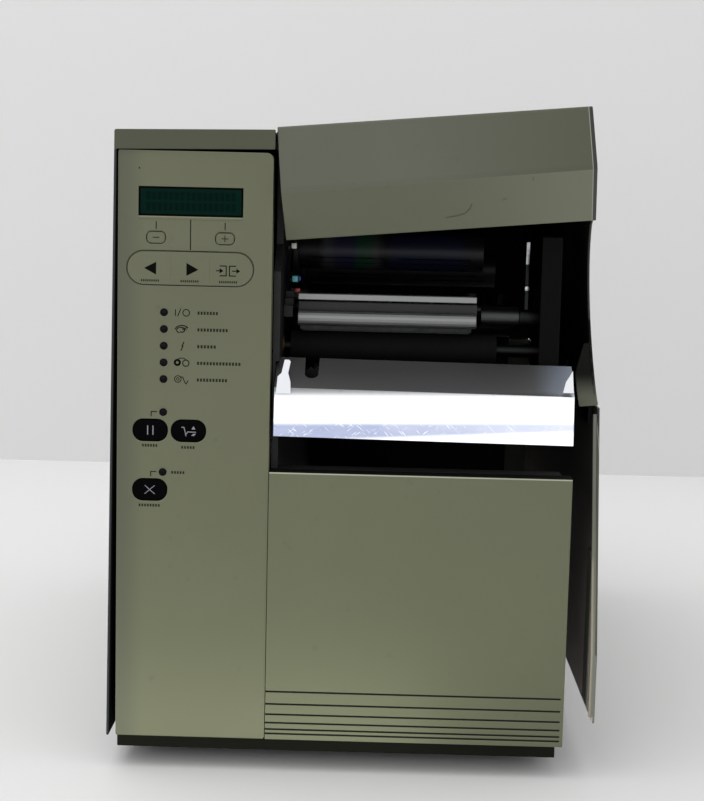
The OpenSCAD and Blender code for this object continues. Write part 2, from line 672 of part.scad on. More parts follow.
// Guide that slides along the hanger against the label roll
module media_guide() color(black) difference() {
    union() {
        rod_x(guide_x, guide_x + 4, hanger_c, 92);
        rod_x(guide_x, guide_x + 12, hanger_c, 50);
    }
    along_x(guide_x - 1, guide_x + 13) translate(hanger_c + [0, -0.4]) hanger_2d(hanger_r + 0.4);
    for (a = [200, 270, 340])
        rod_x(guide_x - 1, guide_x + 5, hanger_c + 35 * [cos(a), sin(a)], 14);
}

// Sprung arm that keeps the label web tight
module dancer_arm() color(steel) {
    along_x(-37, -34) loop_2d(dancer_c, 9, dancer_c + [-46, -26], 6);
    rod_x(-34 - eps, 108, dancer_c + [-46, -26], 9);
    rod_x(frame_x0 - 6, -36, dancer_c, shaft_d - 2 * bush_gap);
    rod_x(frame_x0 - 8, frame_x0 - 4, dancer_c, 14);
}

// Fork sensor on its rail behind the deck
module media_sensor() color(black) difference() {
    union() {
        block([frame_x1, 110], [deck_y1 + 6, deck_y1 + 10], [228, 232]);
        block([20, 40], [deck_y1 + 1, deck_y1 + 24], [224, 252]);
    }
    block([19, 36], [deck_y1, deck_y1 + 20], [238, 244]);
}

// ---------- Electronics ----------
module main_board() color("#1e5a3a") {
    x0 = board_x;
    block([x0 - 1.6, x0], [-60, 236], [112, 330]);
    for (b = [[40, 200, 28, 28], [90, 150, 34, 34], [-20, 260, 22, 40], [60, 270, 40, 18],
              [150, 220, 16, 60]])
        block([x0 - 5, x0 - 1.6 + eps], [b[0], b[0] + b[2]], [b[1], b[1] + b[3]]);
    for (i = [0:3]) rod_x(x0 - 22, x0 - 1.6 + eps, [140 + i * 20, 132], 16);
    for (z = [serial_z, parallel_z]) block([port_x - 4, x0 - 1.6 + eps], [230, 236], [z - 14, z + 14]);
}

// Power supply in its own vented box
psu_x = [-130, -64];
psu_y = [70, 226];
psu_z = [pan_top, 100];
module power_supply() color(steel) difference() {
    block(psu_x, psu_y, psu_z);
    block(psu_x + [1.5, -1.5], psu_y + [1.5, -1.5], psu_z + [1.5, -1.5]);
    for (i = [0:9]) block([-120, -74], [82 + i * 13, 88 + i * 13], [90, 101]);
}

// Appliance inlet and switch housing, one moulding set into the rear panel
module power_inlet() color(black) difference() {
    union() {
        block([inlet_c[0] - 14, inlet_c[0] + 14], [228, rear_y + sheet + eps],
            [inlet_c[1] - 11, inlet_c[1] + 11]);
        block([inlet_c[0] - 20, inlet_c[0] + 20], [rear_y + sheet, rear_y + sheet + 2.4],
            [inlet_c[1] - 14, switch_c[1] + 11]);
        block([switch_c[0] - 9.8, switch_c[0] + 9.8], [234, rear_y + sheet + eps],
            [switch_c[1] - 7.8, switch_c[1] + 7.8]);
    }
    block([switch_c[0] - 8.3, switch_c[0] + 8.3], [rear_y - 14, rear_y + 5],
        [switch_c[1] - 6.7, switch_c[1] + 6.7]);
    rod_x(switch_c[0] - 9.4, switch_c[0] + 9.4, [rocker_y, switch_c[1]], rocker_pin_d + 2 * bush_gap);
    difference() {
        block([inlet_c[0] - 12, inlet_c[0] + 12], [rear_y - 15, rear_y + 5],
            [inlet_c[1] - 8, inlet_c[1] + 8]);
        for (c = [[-7, -1.5], [0, 2], [7, -1.5]])
            block([inlet_c[0] + c[0] - 1, inlet_c[0] + c[0] + 1], [rear_y - 16, rear_y - 2],
                [inlet_c[1] + c[1] - 2, inlet_c[1] + c[1] + 2]);
    }
}

// Rocker of the mains switch on its two pins
rocker_y = rear_y + sheet - 5;
rocker_pin_d = 2.4;
module power_switch() color(black) {
    rotate_about([0, rocker_y, switch_c[1]], [7, 0, 0])
        along_x(switch_c[0] - 8, switch_c[0] + 8)
            intersection() {
                translate([rocker_y, switch_c[1]]) circle(8);
                translate([rocker_y - 7, switch_c[1] - 5.6]) square([18, 11.2]);
            }
    rod_x(switch_c[0] - 9, switch_c[0] + 9, [rocker_y, switch_c[1]], rocker_pin_d);
}
module rotate_about(c, a) translate(c) rotate(a) translate(-c) children();

// Parallel and serial sockets
module data_ports() color(alloy) {
    port(parallel_z, 60);
    port(serial_z, 30);
}
module port(z, h) difference() {
    union() {
        block([port_x - 5, port_x + 5], [236, rear_y + sheet + 5], [z - h / 2, z + h / 2]);
        block([port_x - 7, port_x + 7], [rear_y + sheet, rear_y + sheet + 1.2],
            [z - h / 2 - 8, z + h / 2 + 8]);
    }
    block([port_x - 3.4, port_x + 3.4], [rear_y - 4, rear_y + sheet + 6], [z - h / 2 + 2, z + h / 2 - 2]);
}

// ---------- Media door ----------
// Turns what is drawn closed into the ajar position
module leaf_pose(a = ajar) rotate_about([hinge_x, 0, hinge_z], [0, -a, 0]) children();
// The lower leaf hangs plumb from the fold
module fold_pose() leaf_pose() rotate_about([fold_x, 0, fold_z], [0, ajar, 0]) children();

// Fixed knuckles on the frame
knuckles = [for (i = [0:3]) front_y + 30 + i * knuckle_pitch];
module hinge_leaf() color(steel) difference() {
    union() {
        block([frame_x0 - 4, frame_x1], [front_y + 36, frame_y1 - 4], [frame_top, frame_top + 1]);
        for (y = knuckles) {
            rod_y(y, y + knuckle_len, hinge_x, hinge_z, 2 * knuckle_r);
            block([hinge_x - 1.2, hinge_x + 1.2], [max(y, front_y + 36), y + knuckle_len],
                [frame_top, hinge_z - 2]);
        }
    }
    rod_y(front_y, back_y, hinge_x, hinge_z, 2 * pin_r);
}
module hinge_pin() color(steel)
    rod_y(front_y + 29, front_y + 31 + 3 * knuckle_pitch + knuckle_len, hinge_x, hinge_z, 2 * pin_r);

// Upper leaf: roof of the media bay and the upper part of its side, with its half of the hinge
roof_x0 = hinge_x + knuckle_r + 0.8;
door_y0 = nose_back_y;
relief_y = front_y + relief_d;
relief_r = 77.7;
relief_c = [relief_y - relief_r, fold_z + 50];
module upper_side_2d() polygon(concat(
    [[back_y, fold_z], [back_y, door_top], [door_y0, door_top], [door_y0, nose_z0 + 2]],
    arc(relief_c, relief_r, 52, -36, 14), [[front_y + 35.9, fold_z]]));
module door_upper_leaf() color(paint) leaf_pose() {
    difference() {
        union() {
            along_y(door_y0, back_y) polygon(concat([[roof_x0, door_top], [roof_x0, door_top - sheet],
                [door_x - sheet, door_top - sheet], [door_x - sheet, door_top - 8],
                [door_x, door_top - 8]], arc([door_x - 3, door_top - 3], 3, 0, 90, 6)));
            along_x(door_x - sheet, door_x) intersection() {
                upper_side_2d();
                translate([front_y, fold_z + 0.6]) square([body_d, door_top - 3.6 - fold_z]);
            }
            block([roof_x0 + 6, door_x - 1], [back_y - sheet, back_y], [fold_z + 1, door_top - 1]);
            block([roof_x0, roof_x0 + 16], [door_y0, back_y - sheet],
                [door_top - 2 * sheet, door_top - sheet + eps]);
            for (y = door_knuckles) {
                rod_y(y, y + knuckle_len - 1, hinge_x, hinge_z, 2 * knuckle_r);
                block([hinge_x, roof_x0 + 1], [y, y + knuckle_len - 1],
                    [door_top - 2 * sheet, door_top - sheet]);
            }
        }
        rod_y(front_y, back_y, hinge_x, hinge_z, 2 * (pin_r + bush_gap));
    }
    door_flange();
}
door_knuckles = [for (y = knuckles) if (y + knuckle_pitch < back_y) y + knuckle_len + 0.5];

// Inward return along the lowest part of the front edge, which narrows upwards
flange_w = 12;
module door_flange() intersection() {
    along_x(door_x - flange_w, door_x - 1) polygon(concat(arc(relief_c, relief_r, -9, -36, 8),
        [[front_y + 35.9, fold_z + 0.6], [front_y + 37.6, fold_z + 0.6]],
        arc(relief_c, relief_r + sheet, -36, -9, 8)));
    along_y(front_y, back_y) polygon([[door_x, fold_z], [door_x - flange_w, fold_z],
        [door_x - flange_w, fold_z + 20], [door_x - 5, fold_z + 38], [door_x, fold_z + 38]]);
}

// Moulded nose with its crease, screwed to the front of the upper leaf
module door_nose() color(paint) leaf_pose() {
    x1 = door_x + 0.8;
    difference() {
        along_x(nose_x0, x1) polygon(concat([[nose_back_y, door_top + 0.2]],
            arc([front_y + 4.5, door_top - 1.8], 2, 90, 170, 3),
            [[nose_crease_y, nose_crease_z + 1.5], [nose_crease_y + 0.1, nose_crease_z - 1.5],
             [front_y + 12, nose_z0], [nose_back_y, nose_z0]]));
        along_x(nose_x0 + nose_t, x1 - nose_t) polygon([[nose_back_y + 1, door_top - nose_t],
            [front_y + 4.6, door_top - nose_t], [nose_crease_y + nose_t, nose_crease_z],
            [front_y + 13.8, nose_z0 - 1], [nose_back_y + 1, nose_z0 - 1]]);
    }
}

// Lower leaf: plain sheet with a slanted front edge, a hem all round and a stiffener
leaf_pts = [[back_y, leaf_bottom], [back_y, fold_z - 0.6], [front_y + 35.9, fold_z - 0.6],
    [front_y + 1, 62], [front_y + 1, leaf_bottom]];
lower_x = door_x + 0.8;
module door_lower_leaf() color(paint) fold_pose() {
    along_x(lower_x - sheet, lower_x) polygon(leaf_pts);
    hem = 3.1;
    along_x(door_x - hem, lower_x - sheet + eps) polygon([[front_y + 1, leaf_bottom + 4], [front_y + 1, 62],
        [front_y + 35.9, fold_z - 4.6], [front_y + 37.5, fold_z - 4.6], [front_y + 2.6, 62],
        [front_y + 2.6, leaf_bottom + 4]]);
    along_x(lower_x - sheet - 1, lower_x - sheet + eps) polygon([[front_y + 26, leaf_bottom + 4],
        [front_y + 26, 112], [front_y + 34, 120], [front_y + 46, 120], [front_y + 46, leaf_bottom + 4]]);
    return_gap = 0.04;
    block([door_x - 20, lower_x - sheet - return_gap], [back_y - 3.2, back_y - 1.8],
        [leaf_bottom, fold_z - 0.6]);
}

// Hinge of the fold: knuckles of the upper leaf, knuckles of the lower leaf and the pin
fold_y0 = front_y + 60;
fold_n = 5;
fold_len = 40;
fold_pitch = 84;
fold_pin_d = 2;
module fold_hinge() color(steel) fold_pose() difference() {
    union() for (i = [0:fold_n - 1]) {
        y = fold_y0 + i * fold_pitch;
        rod_y(y, y + fold_len, fold_x, fold_z, 2 * fold_r);
        block([fold_x + fold_r - 1.2, lower_x - sheet], [y, y + fold_len], [fold_z - 14, fold_z]);
    }
    rod_y(front_y, back_y, fold_x, fold_z, fold_pin_d + 2 * bush_gap);
}

// The upper leaf's knuckles of the fold with the pin through all of them
module fold_pin() color(steel) leaf_pose() {
    rod_y(fold_y0 - 1, fold_y0 + (fold_n - 1) * fold_pitch + fold_len + 1, fold_x, fold_z, fold_pin_d);
    for (i = [0:fold_n - 2]) {
        y = fold_y0 + i * fold_pitch + fold_len + 0.5;
        rod_y(y, y + fold_pitch - fold_len - 1, fold_x, fold_z, 2 * fold_r);
        block([fold_x + fold_r - 1.2, door_x - sheet], [y, y + fold_pitch - fold_len - 1],
            [fold_z, fold_z + 14]);
    }
}

// Magnetic catch plate on the bay wall
module door_catch() color(black) {
    block([120, 134], [wall_y + 14, wall_y + 26], [front_top - 20, front_top - 4]);
    block([120, 134], [wall_y + sheet, wall_y + 14 + eps], [front_top - 14, front_top - 10]);
}

base_pan();
rubber_feet();
centre_frame();
bay_front_wall();
rear_panel();
electronics_cover();
cover_screws();
control_bezel();
display_window();
display_module();
indicator_lenses();
control_board();
pause_button();
feed_button();
cancel_button();
minus_key();
plus_key();
previous_key();
next_key();
setup_key();
front_panel();
label_chute();
print_deck();
outer_side_plate();
tear_off_bar();
platen_roller();
platen_shaft();
shaft_bearings();
platen_pulley();
stepper_motor();
motor_pulley();
platen_belt();
takeup_belt();
takeup_spindle();
takeup_pulley();
supply_spindle();
head_carrier();
print_head();
head_cover();
fixed_shafts();
head_lever();
head_cable();
ribbon_roller();
media_hanger();
media_guide();
dancer_arm();
media_sensor();
main_board();
power_supply();
power_inlet();
power_switch();
data_ports();
hinge_leaf();
hinge_pin();
door_upper_leaf();
door_nose();
door_lower_leaf();
fold_hinge();
fold_pin();
door_catch();
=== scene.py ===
import json
import math
from functools import partial

import bmesh
import bpy
import numpy as np
from mathutils import Matrix, Vector


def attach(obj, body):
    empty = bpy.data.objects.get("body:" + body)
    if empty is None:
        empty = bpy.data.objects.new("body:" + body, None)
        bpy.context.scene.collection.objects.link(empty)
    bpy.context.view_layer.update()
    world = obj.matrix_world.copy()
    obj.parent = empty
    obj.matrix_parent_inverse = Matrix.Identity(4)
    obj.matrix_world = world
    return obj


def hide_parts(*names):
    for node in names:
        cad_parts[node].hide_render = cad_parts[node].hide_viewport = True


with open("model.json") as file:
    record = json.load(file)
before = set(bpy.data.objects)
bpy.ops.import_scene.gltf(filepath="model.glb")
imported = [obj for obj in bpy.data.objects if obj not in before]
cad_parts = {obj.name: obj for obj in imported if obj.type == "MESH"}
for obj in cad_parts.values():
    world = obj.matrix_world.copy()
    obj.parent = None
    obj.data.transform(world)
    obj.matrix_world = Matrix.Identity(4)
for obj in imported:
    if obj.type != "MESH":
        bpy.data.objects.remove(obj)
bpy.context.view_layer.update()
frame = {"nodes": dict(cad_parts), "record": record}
cadNodes = frame["nodes"]
bodyOf = {node: body for body, names in frame["record"]["behaviour"]["bodies"].items() for node in names}
scene, mm = bpy.context.scene, 0.001
print("frame loaded,", len(cadNodes), "nodes")


def newObject(name, data):
    made = bpy.data.objects.new(name, data)
    scene.collection.objects.link(made)
    return made


# camera: stands in front of the door side, a little above the roof, looking slightly down
cameraView = {"place": (0.0209, -1.2430, 0.3544), "yaw": -0.888, "down": 7.154, "roll": 1.323, "lens": 74.63}


def placeCamera(view):
    # right, up and back directions from yaw, downward pitch and roll are the columns of the camera's matrix
    yaw, down, roll = (math.radians(view[k]) for k in ("yaw", "down", "roll"))
    ahead = Vector((math.sin(yaw) * math.cos(down), math.cos(yaw) * math.cos(down), -math.sin(down)))
    level = Vector((math.cos(yaw), -math.sin(yaw), 0))
    tall = level.cross(ahead)
    right = level * math.cos(roll) + tall * math.sin(roll)
    up = tall * math.cos(roll) - level * math.sin(roll)
    data = bpy.data.cameras.new("studioCamera")
    data.lens = view["lens"]
    data.sensor_width = 36
    data.clip_start, data.clip_end = 0.05, 50
    scene.camera = newObject("studioCamera", data)
    turn = Matrix((right, up, -ahead)).transposed().to_4x4()
    scene.camera.matrix_world = Matrix.Translation(view["place"]) @ turn


placeCamera(cameraView)
print("camera placed")


# small helpers for colours and shader nodes
def linear(hexColour):
    # each channel is divided by 12.92 when dark, else raised to the power 2.4 after its offset
    srgb = np.array([int(hexColour[i:i + 2], 16) for i in (1, 3, 5)]) / 255
    return (*np.where(srgb <= 0.04045, srgb / 12.92, ((srgb + 0.055) / 1.055) ** 2.4).tolist(), 1.0)


def addNode(tree, kind, settings=None, links=None):
    # a setting is the stops of a ramp as (place, hex colour) pairs, a property of the node, or the value of a
    # socket, where a hex colour is made linear; a link comes from a socket, or from the first output that a
    # node has in use; the two colours of a Mix are its sockets 6 and 7
    made = tree.nodes.new("ShaderNode" + kind)
    for key, value in (settings or {}).items():
        if key == "stops":
            ramp = made.color_ramp.elements
            while len(ramp) < len(value):
                ramp.new(0.5)
            for stop, (place, colour) in zip(ramp, value):
                stop.position, stop.color = place, linear(colour)
        elif isinstance(key, str) and hasattr(made, key):
            setattr(made, key, value)
        else:
            made.inputs[key].default_value = linear(value) if isinstance(value, str) else value
    for key, source in (links or {}).items():
        if isinstance(source, bpy.types.Node):
            source = next(output for output in source.outputs if output.enabled)
        tree.links.new(source, made.inputs[key])
    return made


def newFinish(name):
    # an empty material and the function that adds a node to it
    material = bpy.data.materials.new(name)
    material.use_nodes = True
    material.node_tree.nodes.clear()
    return material, partial(addNode, material.node_tree)


def coated(material, add, settings, links):
    # the material, given its surface and its output
    add("OutputMaterial", {}, {"Surface": add("BsdfPrincipled", settings, links)})
    return material


def span(start, end, low=0.0, high=1.0):
    # settings of a Map Range node that takes start to low and end to high
    return {"From Min": start, "From Max": end, "To Min": low, "To Max": high}


def noise(add, place, size, detail=3.0, stretch=(1, 1, 1), turn=(0, 0, 0)):
    # lumps of a size in millimetres, which is divided by stretch along the axes after a turn in degrees
    turned = add("Mapping", {"Rotation": [math.radians(a) for a in turn]}, {"Vector": place})
    moved = add("Mapping", {"Scale": [1000 / size * s for s in stretch]}, {"Vector": turned})
    return add("TexNoise", {"Scale": 1.0, "Detail": detail}, {"Vector": moved})


# finishes, and the settings that many of their nodes share
smooth, blend = {"interpolation_type": "SMOOTHSTEP"}, {"data_type": "RGBA"}


def faded(add, place, colour, to, axis, start, end, most=1.0):
    # the colour turns smoothly into another one along an axis, between two places in millimetres
    along = add("SeparateXYZ", {}, {0: place}).outputs[axis]
    amount = add("MapRange", {**span(start * mm, end * mm, 0.0, most), **smooth}, {"Value": along})
    return add("Mix", {**blend, 7: to}, {0: amount, 6: colour})


def shadedFrontEdge(add, place, colour, top, front, cut, lip):
    # painted shade at the front edge of the sheet: the lip above is darkened as if turned down from the
    # light, and the bare cut edge below it is darkened further by painted shade
    axes = add("SeparateXYZ", {}, {0: place}).outputs
    high = add("Math", {"operation": "GREATER_THAN", 1: top * mm}, {0: axes["Z"]})
    fore = add("Math", {"operation": "LESS_THAN", 1: front * mm}, {0: axes["Y"]})
    edge = add("Mix", {**blend, 6: cut, 7: lip}, {0: high})
    return add("Mix", blend, {0: fore, 6: colour, 7: edge})


def paintedCreaseShade(add, place, colour, tint, slope, height, half):
    # painted shade: a darker line that rises across the face along its crease, found by its height: Z less
    # the slope times X
    axes = add("SeparateXYZ", {}, {0: place}).outputs
    above = add("Math", {"operation": "MULTIPLY_ADD", 1: -slope}, {0: axes["X"], 2: axes["Z"]})
    near = add("Math", {"operation": "COMPARE", 1: height * mm, 2: half * mm}, {0: above})
    return add("Mix", {**blend, 7: tint}, {0: near, 6: colour})


def paintedEdgeStrips(add, place, colour, turn, tints):
    # painted highlight and shade: paler and darker strips along the edge of a front face, each from a
    # distance along X after the face's turn in degrees; a turn of 90 measures the height instead
    turn = math.radians(turn)
    across = (math.cos(turn), 0, math.sin(turn))
    along = add("VectorMath", {"operation": "DOT_PRODUCT", 1: across}, {0: place})
    side = add("SeparateXYZ", {}, {0: add("NewGeometry").outputs["Normal"]}).outputs["Y"]
    front = add("Math", {"operation": "LESS_THAN", 1: -0.3}, {0: side})
    for tint, start in tints:
        past = add("Math", {"operation": "GREATER_THAN", 1: start * mm}, {0: along})
        both = add("Math", {"operation": "MULTIPLY"}, {0: past, 1: front})
        colour = add("Mix", {**blend, 7: tint}, {0: both, 6: colour})
    return colour


edgeHighlightLook = {"colour": "#8d917a", "side": (-0.45, 0, 0.9), "lift": (0.12, 0.6), "most": 0.75}


def paintedEdgeHighlight(add, place, colour, radius):
    # painted highlight: paint on a rounded edge is made paler where it looks up and to the left, towards the
    # light, by how far the normal turns
    soft = add("Bevel", {"samples": 6, "Radius": radius * mm})
    turned = add("VectorMath", {"operation": "SUBTRACT"}, {0: soft, 1: add("NewGeometry").outputs["Normal"]})
    lift = add("VectorMath", {"operation": "DOT_PRODUCT", 1: edgeHighlightLook["side"]}, {0: turned})
    amount = add("MapRange", span(*edgeHighlightLook["lift"], 0.0, edgeHighlightLook["most"]), {"Value": lift})
    return add("Mix", {**blend, 7: edgeHighlightLook["colour"]}, {0: amount, 6: colour})


enamelLook = {"peelMm": 1.1, "peel": 0.10, "peelDepth": 0.2, "cloudMm": 140, "clouds": (0.35, 0.65),
              "soilMm": 9, "soil": (0.66, 0.8, 0, 0.35)}


def texturedEnamel(name, pale, mid, soil, roughness=0.5, wearAndPaintedLight=(), gloss=0.5):
    # baked polyester enamel: an orange peel in the gloss, drawn coarse enough to show, faint clouds of tone
    # and a few specks of dirt rubbed in; each kind of wear and of painted light and shade is a function above
    # with its values
    material, add = newFinish(name)
    place = add("TexCoord").outputs["Object"]
    clouds = noise(add, place, enamelLook["cloudMm"], 4.0)
    specks = noise(add, place, enamelLook["soilMm"], 8.0)
    peel = noise(add, place, enamelLook["peelMm"], 2.0)
    clean = add("ValToRGB", {"stops": [*zip(enamelLook["clouds"], (mid, pale))]}, {0: clouds})
    dirt = add("MapRange", span(*enamelLook["soil"]), {"Value": specks})
    colour = add("Mix", {**blend, 7: soil}, {0: dirt, 6: clean})
    for change, values in wearAndPaintedLight:
        colour = change(add, place, colour, **values)
    bump = add("Bump", {"Strength": enamelLook["peel"], "Distance": enamelLook["peelDepth"] * mm},
               {"Height": peel})
    return coated(material, add, {"Roughness": roughness, "IOR": 1.5, "Specular IOR Level": gloss},
                  {"Base Color": colour, "Normal": bump})


def grained(name, look, tones, surface):
    # lumps of two tones, which lift the surface a little where the look has a bump
    material, add = newFinish(name)
    lumps = noise(add, add("TexCoord").outputs["Object"], look["grainMm"], look["detail"])
    links = {"Base Color": add("ValToRGB", {"stops": [*zip(look["stops"], tones)]}, {0: lumps})}
    if "bump" in look:
        links["Normal"] = add("Bump", {"Strength": look["bump"], "Distance": look["depth"] * mm},
                              {"Height": lumps})
    return coated(material, add, surface, links)


plasticLook = {"grainMm": 0.625, "detail": 3.0, "stops": (0.3, 0.75), "bump": 0.12, "depth": 0.1}


def mouldedPlastic(name, colour, spark, roughness, gloss=0.5):
    # injection-moulded plastic, or ink: the spark-eroded texture is pale specks, drawn 0.6 mm across to show
    return grained(name, plasticLook, (colour, spark),
                   {"Roughness": roughness, "IOR": 1.5, "Specular IOR Level": gloss})


castLook = {"grainMm": 3.846, "detail": 5.0, "stops": (0.3, 0.7), "bump": 0.25, "depth": 0.3}


def castMetal(name, dark, light, roughness, metallic):
    # die-cast aluminium, bare or under thin paint: slightly lumpy skin, about 4 mm across
    return grained(name, castLook, (dark, light), {"Metallic": metallic, "Roughness": roughness})


rubberLook = {"grainMm": 2.381, "detail": 6.0, "stops": (0.4, 0.8)}


def vulcanisedRubber(name, dark, light, roughness):
    # moulded black rubber: dusty in spots of 2 mm, almost no gloss
    return grained(name, rubberLook, (dark, light),
                   {"Roughness": roughness, "IOR": 1.52, "Specular IOR Level": 0.15})


machinedLook = {"lengthMm": 25, "stops": (0.3, 0.7), "smoothest": 0.7, "roughest": 1.4}


def machinedMetal(name, dark, light, roughness, stretch=(1, 60, 60)):
    # turned or rolled metal: lines from the tool, drawn 0.4 mm wide to show, change its roughness and tone
    material, add = newFinish(name)
    lines = noise(add, add("TexCoord").outputs["Object"], machinedLook["lengthMm"], 3.0, stretch)
    tone = add("ValToRGB", {"stops": [*zip(machinedLook["stops"], (dark, light))]}, {0: lines})
    low, high = roughness * machinedLook["smoothest"], roughness * machinedLook["roughest"]
    rough = add("MapRange", span(0, 1, low, high), {"Value": lines})
    return coated(material, add, {"Metallic": 1.0}, {"Base Color": tone, "Roughness": rough})


coreLook = {"start": -40, "end": 100, "waver": 6, "waverMm": 3.333,
            "bands": [(0.14, "#0e0f11"), (0.18, "#3c3d3e"), (0.23, "#25263a"), (0.30, "#23243c"),
                      (0.33, "#1a3a2a"), (0.38, "#1d3c2c"), (0.41, "#333435"), (0.45, "#0f1012"),
                      (0.50, "#12162a"), (0.80, "#12162a"), (0.85, "#0e0f11")]}


def ribbonCore(name, look):
    # dark moulded core with bands of colour, whose edges waver along its length
    material, add = newFinish(name)
    place = add("TexCoord").outputs["Object"]
    along = add("SeparateXYZ", {}, {0: place}).outputs["X"]
    waver = add("Math", {"operation": "MULTIPLY_ADD", 1: look["waver"] * mm, 2: -look["waver"] / 2 * mm},
                {0: noise(add, place, look["waverMm"])})
    moved = add("Math", {"operation": "ADD"}, {0: along, 1: waver})
    share = add("MapRange", span(look["start"] * mm, look["end"] * mm), {"Value": moved})
    tone = add("ValToRGB", {"stops": look["bands"]}, {0: share})
    return coated(material, add, {"Roughness": 0.45, "IOR": 1.5, "Specular IOR Level": 0.3},
                  {"Base Color": tone})


# a slope and the heights of a line at which a change starts and ends, or two places across with their amounts
chuteLook = {"roughness": 0.1, "scuff": 0.42, "clean": "#eceef3", "reflectionBand": "#858da8", "dull": "#8a8b8b",
             "dullEnd": "#a5adbc", "dullAcross": (112, 128), "bend": (0.0224, 230.2, 237.6),
             "reflectionTop": (0.024, 219.2, 215.4), "reflectionFoot": (0.056, 206.2, 209.4), "reflectionPatches": (0.7, 1.15),
             "reflectionAcross": (-20, 200, 1.0, 0.5), "patchMm": 14.29, "patchStretch": (0.4, 1, 1),
             "scratchMm": 0.5556, "scratchStretch": (0.022, 1, 1), "scratchTurns": (38, -41),
             "scratches": (0.67, 0.77), "scratchRoughness": 0.2}


def polishedStainless(name, look):
    # bright-annealed stainless sheet: a clear mirror, dull and scuffed above the bend where labels slide over
    # it, its tone there darkened as painted shade and turning bluer towards its right end as a painted
    # reflection, with crossed hair scratches, drawn 0.6 mm wide to show, and a painted blue reflection near
    # its foot
    material, add = newFinish(name)
    place = add("TexCoord").outputs["Object"]
    axes = add("SeparateXYZ", {}, {0: place}).outputs

    def rising(slope, start, end):
        # smooth step of the height above a line that rises by the slope across the sheet
        above = add("Math", {"operation": "MULTIPLY_ADD", 1: -slope}, {0: axes["X"], 2: axes["Z"]})
        return add("MapRange", {**span(start * mm, end * mm), **smooth}, {"Value": above})

    def across(start, end, *amounts):
        # smooth step along X, from one amount to the other
        return add("MapRange", {**span(start * mm, end * mm, *amounts), **smooth}, {"Value": axes["X"]})

    dulled = rising(*look["bend"])
    scuffed = add("MapRange", span(0, 1, look["roughness"], look["scuff"]), {"Value": dulled})
    lines = [noise(add, place, look["scratchMm"], 1.0, look["scratchStretch"], (0, turn, 0))
             for turn in look["scratchTurns"]]
    crossed = add("Math", {"operation": "MAXIMUM"}, {0: lines[0], 1: lines[1]})
    hair = add("MapRange", span(*look["scratches"]), {"Value": crossed})
    rough = add("Math", {"operation": "MULTIPLY_ADD", 1: look["scratchRoughness"]}, {0: hair, 2: scuffed})
    # painted reflection: a blue band near the foot, in patches and fading across
    reflectionBand = add("Math", {"operation": "MULTIPLY"}, {0: rising(*look["reflectionTop"]), 1: rising(*look["reflectionFoot"])})
    patches = noise(add, place, look["patchMm"], 3.0, look["patchStretch"])
    patchy = add("MapRange", span(0, 1, *look["reflectionPatches"]), {"Value": patches})
    amount = add("Math", {"operation": "MULTIPLY"}, {0: reflectionBand, 1: patchy})
    spread = add("Math", {"operation": "MULTIPLY", "use_clamp": True},
                 {0: amount, 1: across(*look["reflectionAcross"])})
    tone = add("Mix", {**blend, 6: look["clean"], 7: look["reflectionBand"]}, {0: spread})
    # the scratches shine through the painted reflection
    shine = add("Math", {"operation": "MULTIPLY", "use_clamp": True}, {0: spread, 1: hair})
    bared = add("Mix", {**blend, 7: look["clean"]}, {0: shine, 6: tone})
    # painted shade and reflection: above the bend the tone is darker, and bluer towards the right end
    dull = add("Mix", {**blend, 6: look["dull"], 7: look["dullEnd"]}, {0: across(*look["dullAcross"])})
    whole = add("Mix", blend, {0: dulled, 6: bared, 7: dull})
    return coated(material, add, {"Metallic": 1.0}, {"Base Color": whole, "Roughness": rough})


boardLook = {"mask": "#12402a", "maskToo": "#174a31", "track": "#2c6b49", "trackMm": 0.2, "lengthMm": 15,
             "pitchMm": 1.333, "perMetre": 60}


def solderMask(name, look):
    # glass-epoxy circuit board under green solder mask: the copper tracks show as paler lines
    material, add = newFinish(name)
    width, length, pitch = (look[k] * mm * look["perMetre"] for k in ("trackMm", "lengthMm", "pitchMm"))
    place = add("TexCoord").outputs["Object"]
    turned = add("Mapping", {"Rotation": (0, math.radians(90), 0), "Scale": [look["perMetre"]] * 3},
                 {"Vector": place})
    tracks = add("TexBrick", {"Scale": 1.0, "Color1": look["mask"], "Color2": look["maskToo"],
                              "Mortar": look["track"], "Mortar Size": width, "Brick Width": length,
                              "Row Height": pitch}, {"Vector": turned})
    return coated(material, add, {"Roughness": 0.35, "IOR": 1.5}, {"Base Color": tracks})


# the cover's front lip and cut edge get painted shade
coverEnamel = texturedEnamel("coverEnamel", "#5f6250", "#5a5d4b", "#3a3c31", wearAndPaintedLight=[
    (shadedFrontEdge, {"top": 376.2, "front": -259.8, "cut": "#12161a", "lip": "#3c3f2c"})])
# painted shade and light: the door's paint darkens towards its outer end, its outer front edge has a painted
# pale line beside a dark painted shadow strip, and its rounded edges get painted highlights
doorEnamel = texturedEnamel("doorEnamel", "#55564a", "#505144", "#35362c", wearAndPaintedLight=[
    (faded, {"to": "#434633", "axis": "X", "start": 30, "end": 160}),
    (paintedEdgeStrips, {"turn": 5.0, "tints": [("#8a877c", 174.6), ("#1f211d", 175.1)]}),
    (paintedEdgeHighlight, {"radius": 0.6})])
# painted light: a paler copy of the door's paint for the face below the crease, standing for light thrown up
# from the table; it brightens towards the outer end, with a painted shadow line at the crease, the painted
# edge strips and painted edge highlights
noseUnderLitEnamel = texturedEnamel("noseUnderLitEnamel", "#5a5d4b", "#565946", "#393b2f", wearAndPaintedLight=[
    (faded, {"to": "#666a58", "axis": "X", "start": 40, "end": 160}),
    (paintedCreaseShade, {"tint": "#464937", "slope": 0.0983, "height": 357.6, "half": 0.5}),
    (paintedEdgeStrips, {"turn": 5.0, "tints": [("#8f8c82", 174.6), ("#31352f", 175.1)]}),
    (paintedEdgeHighlight, {"radius": 0.6})])
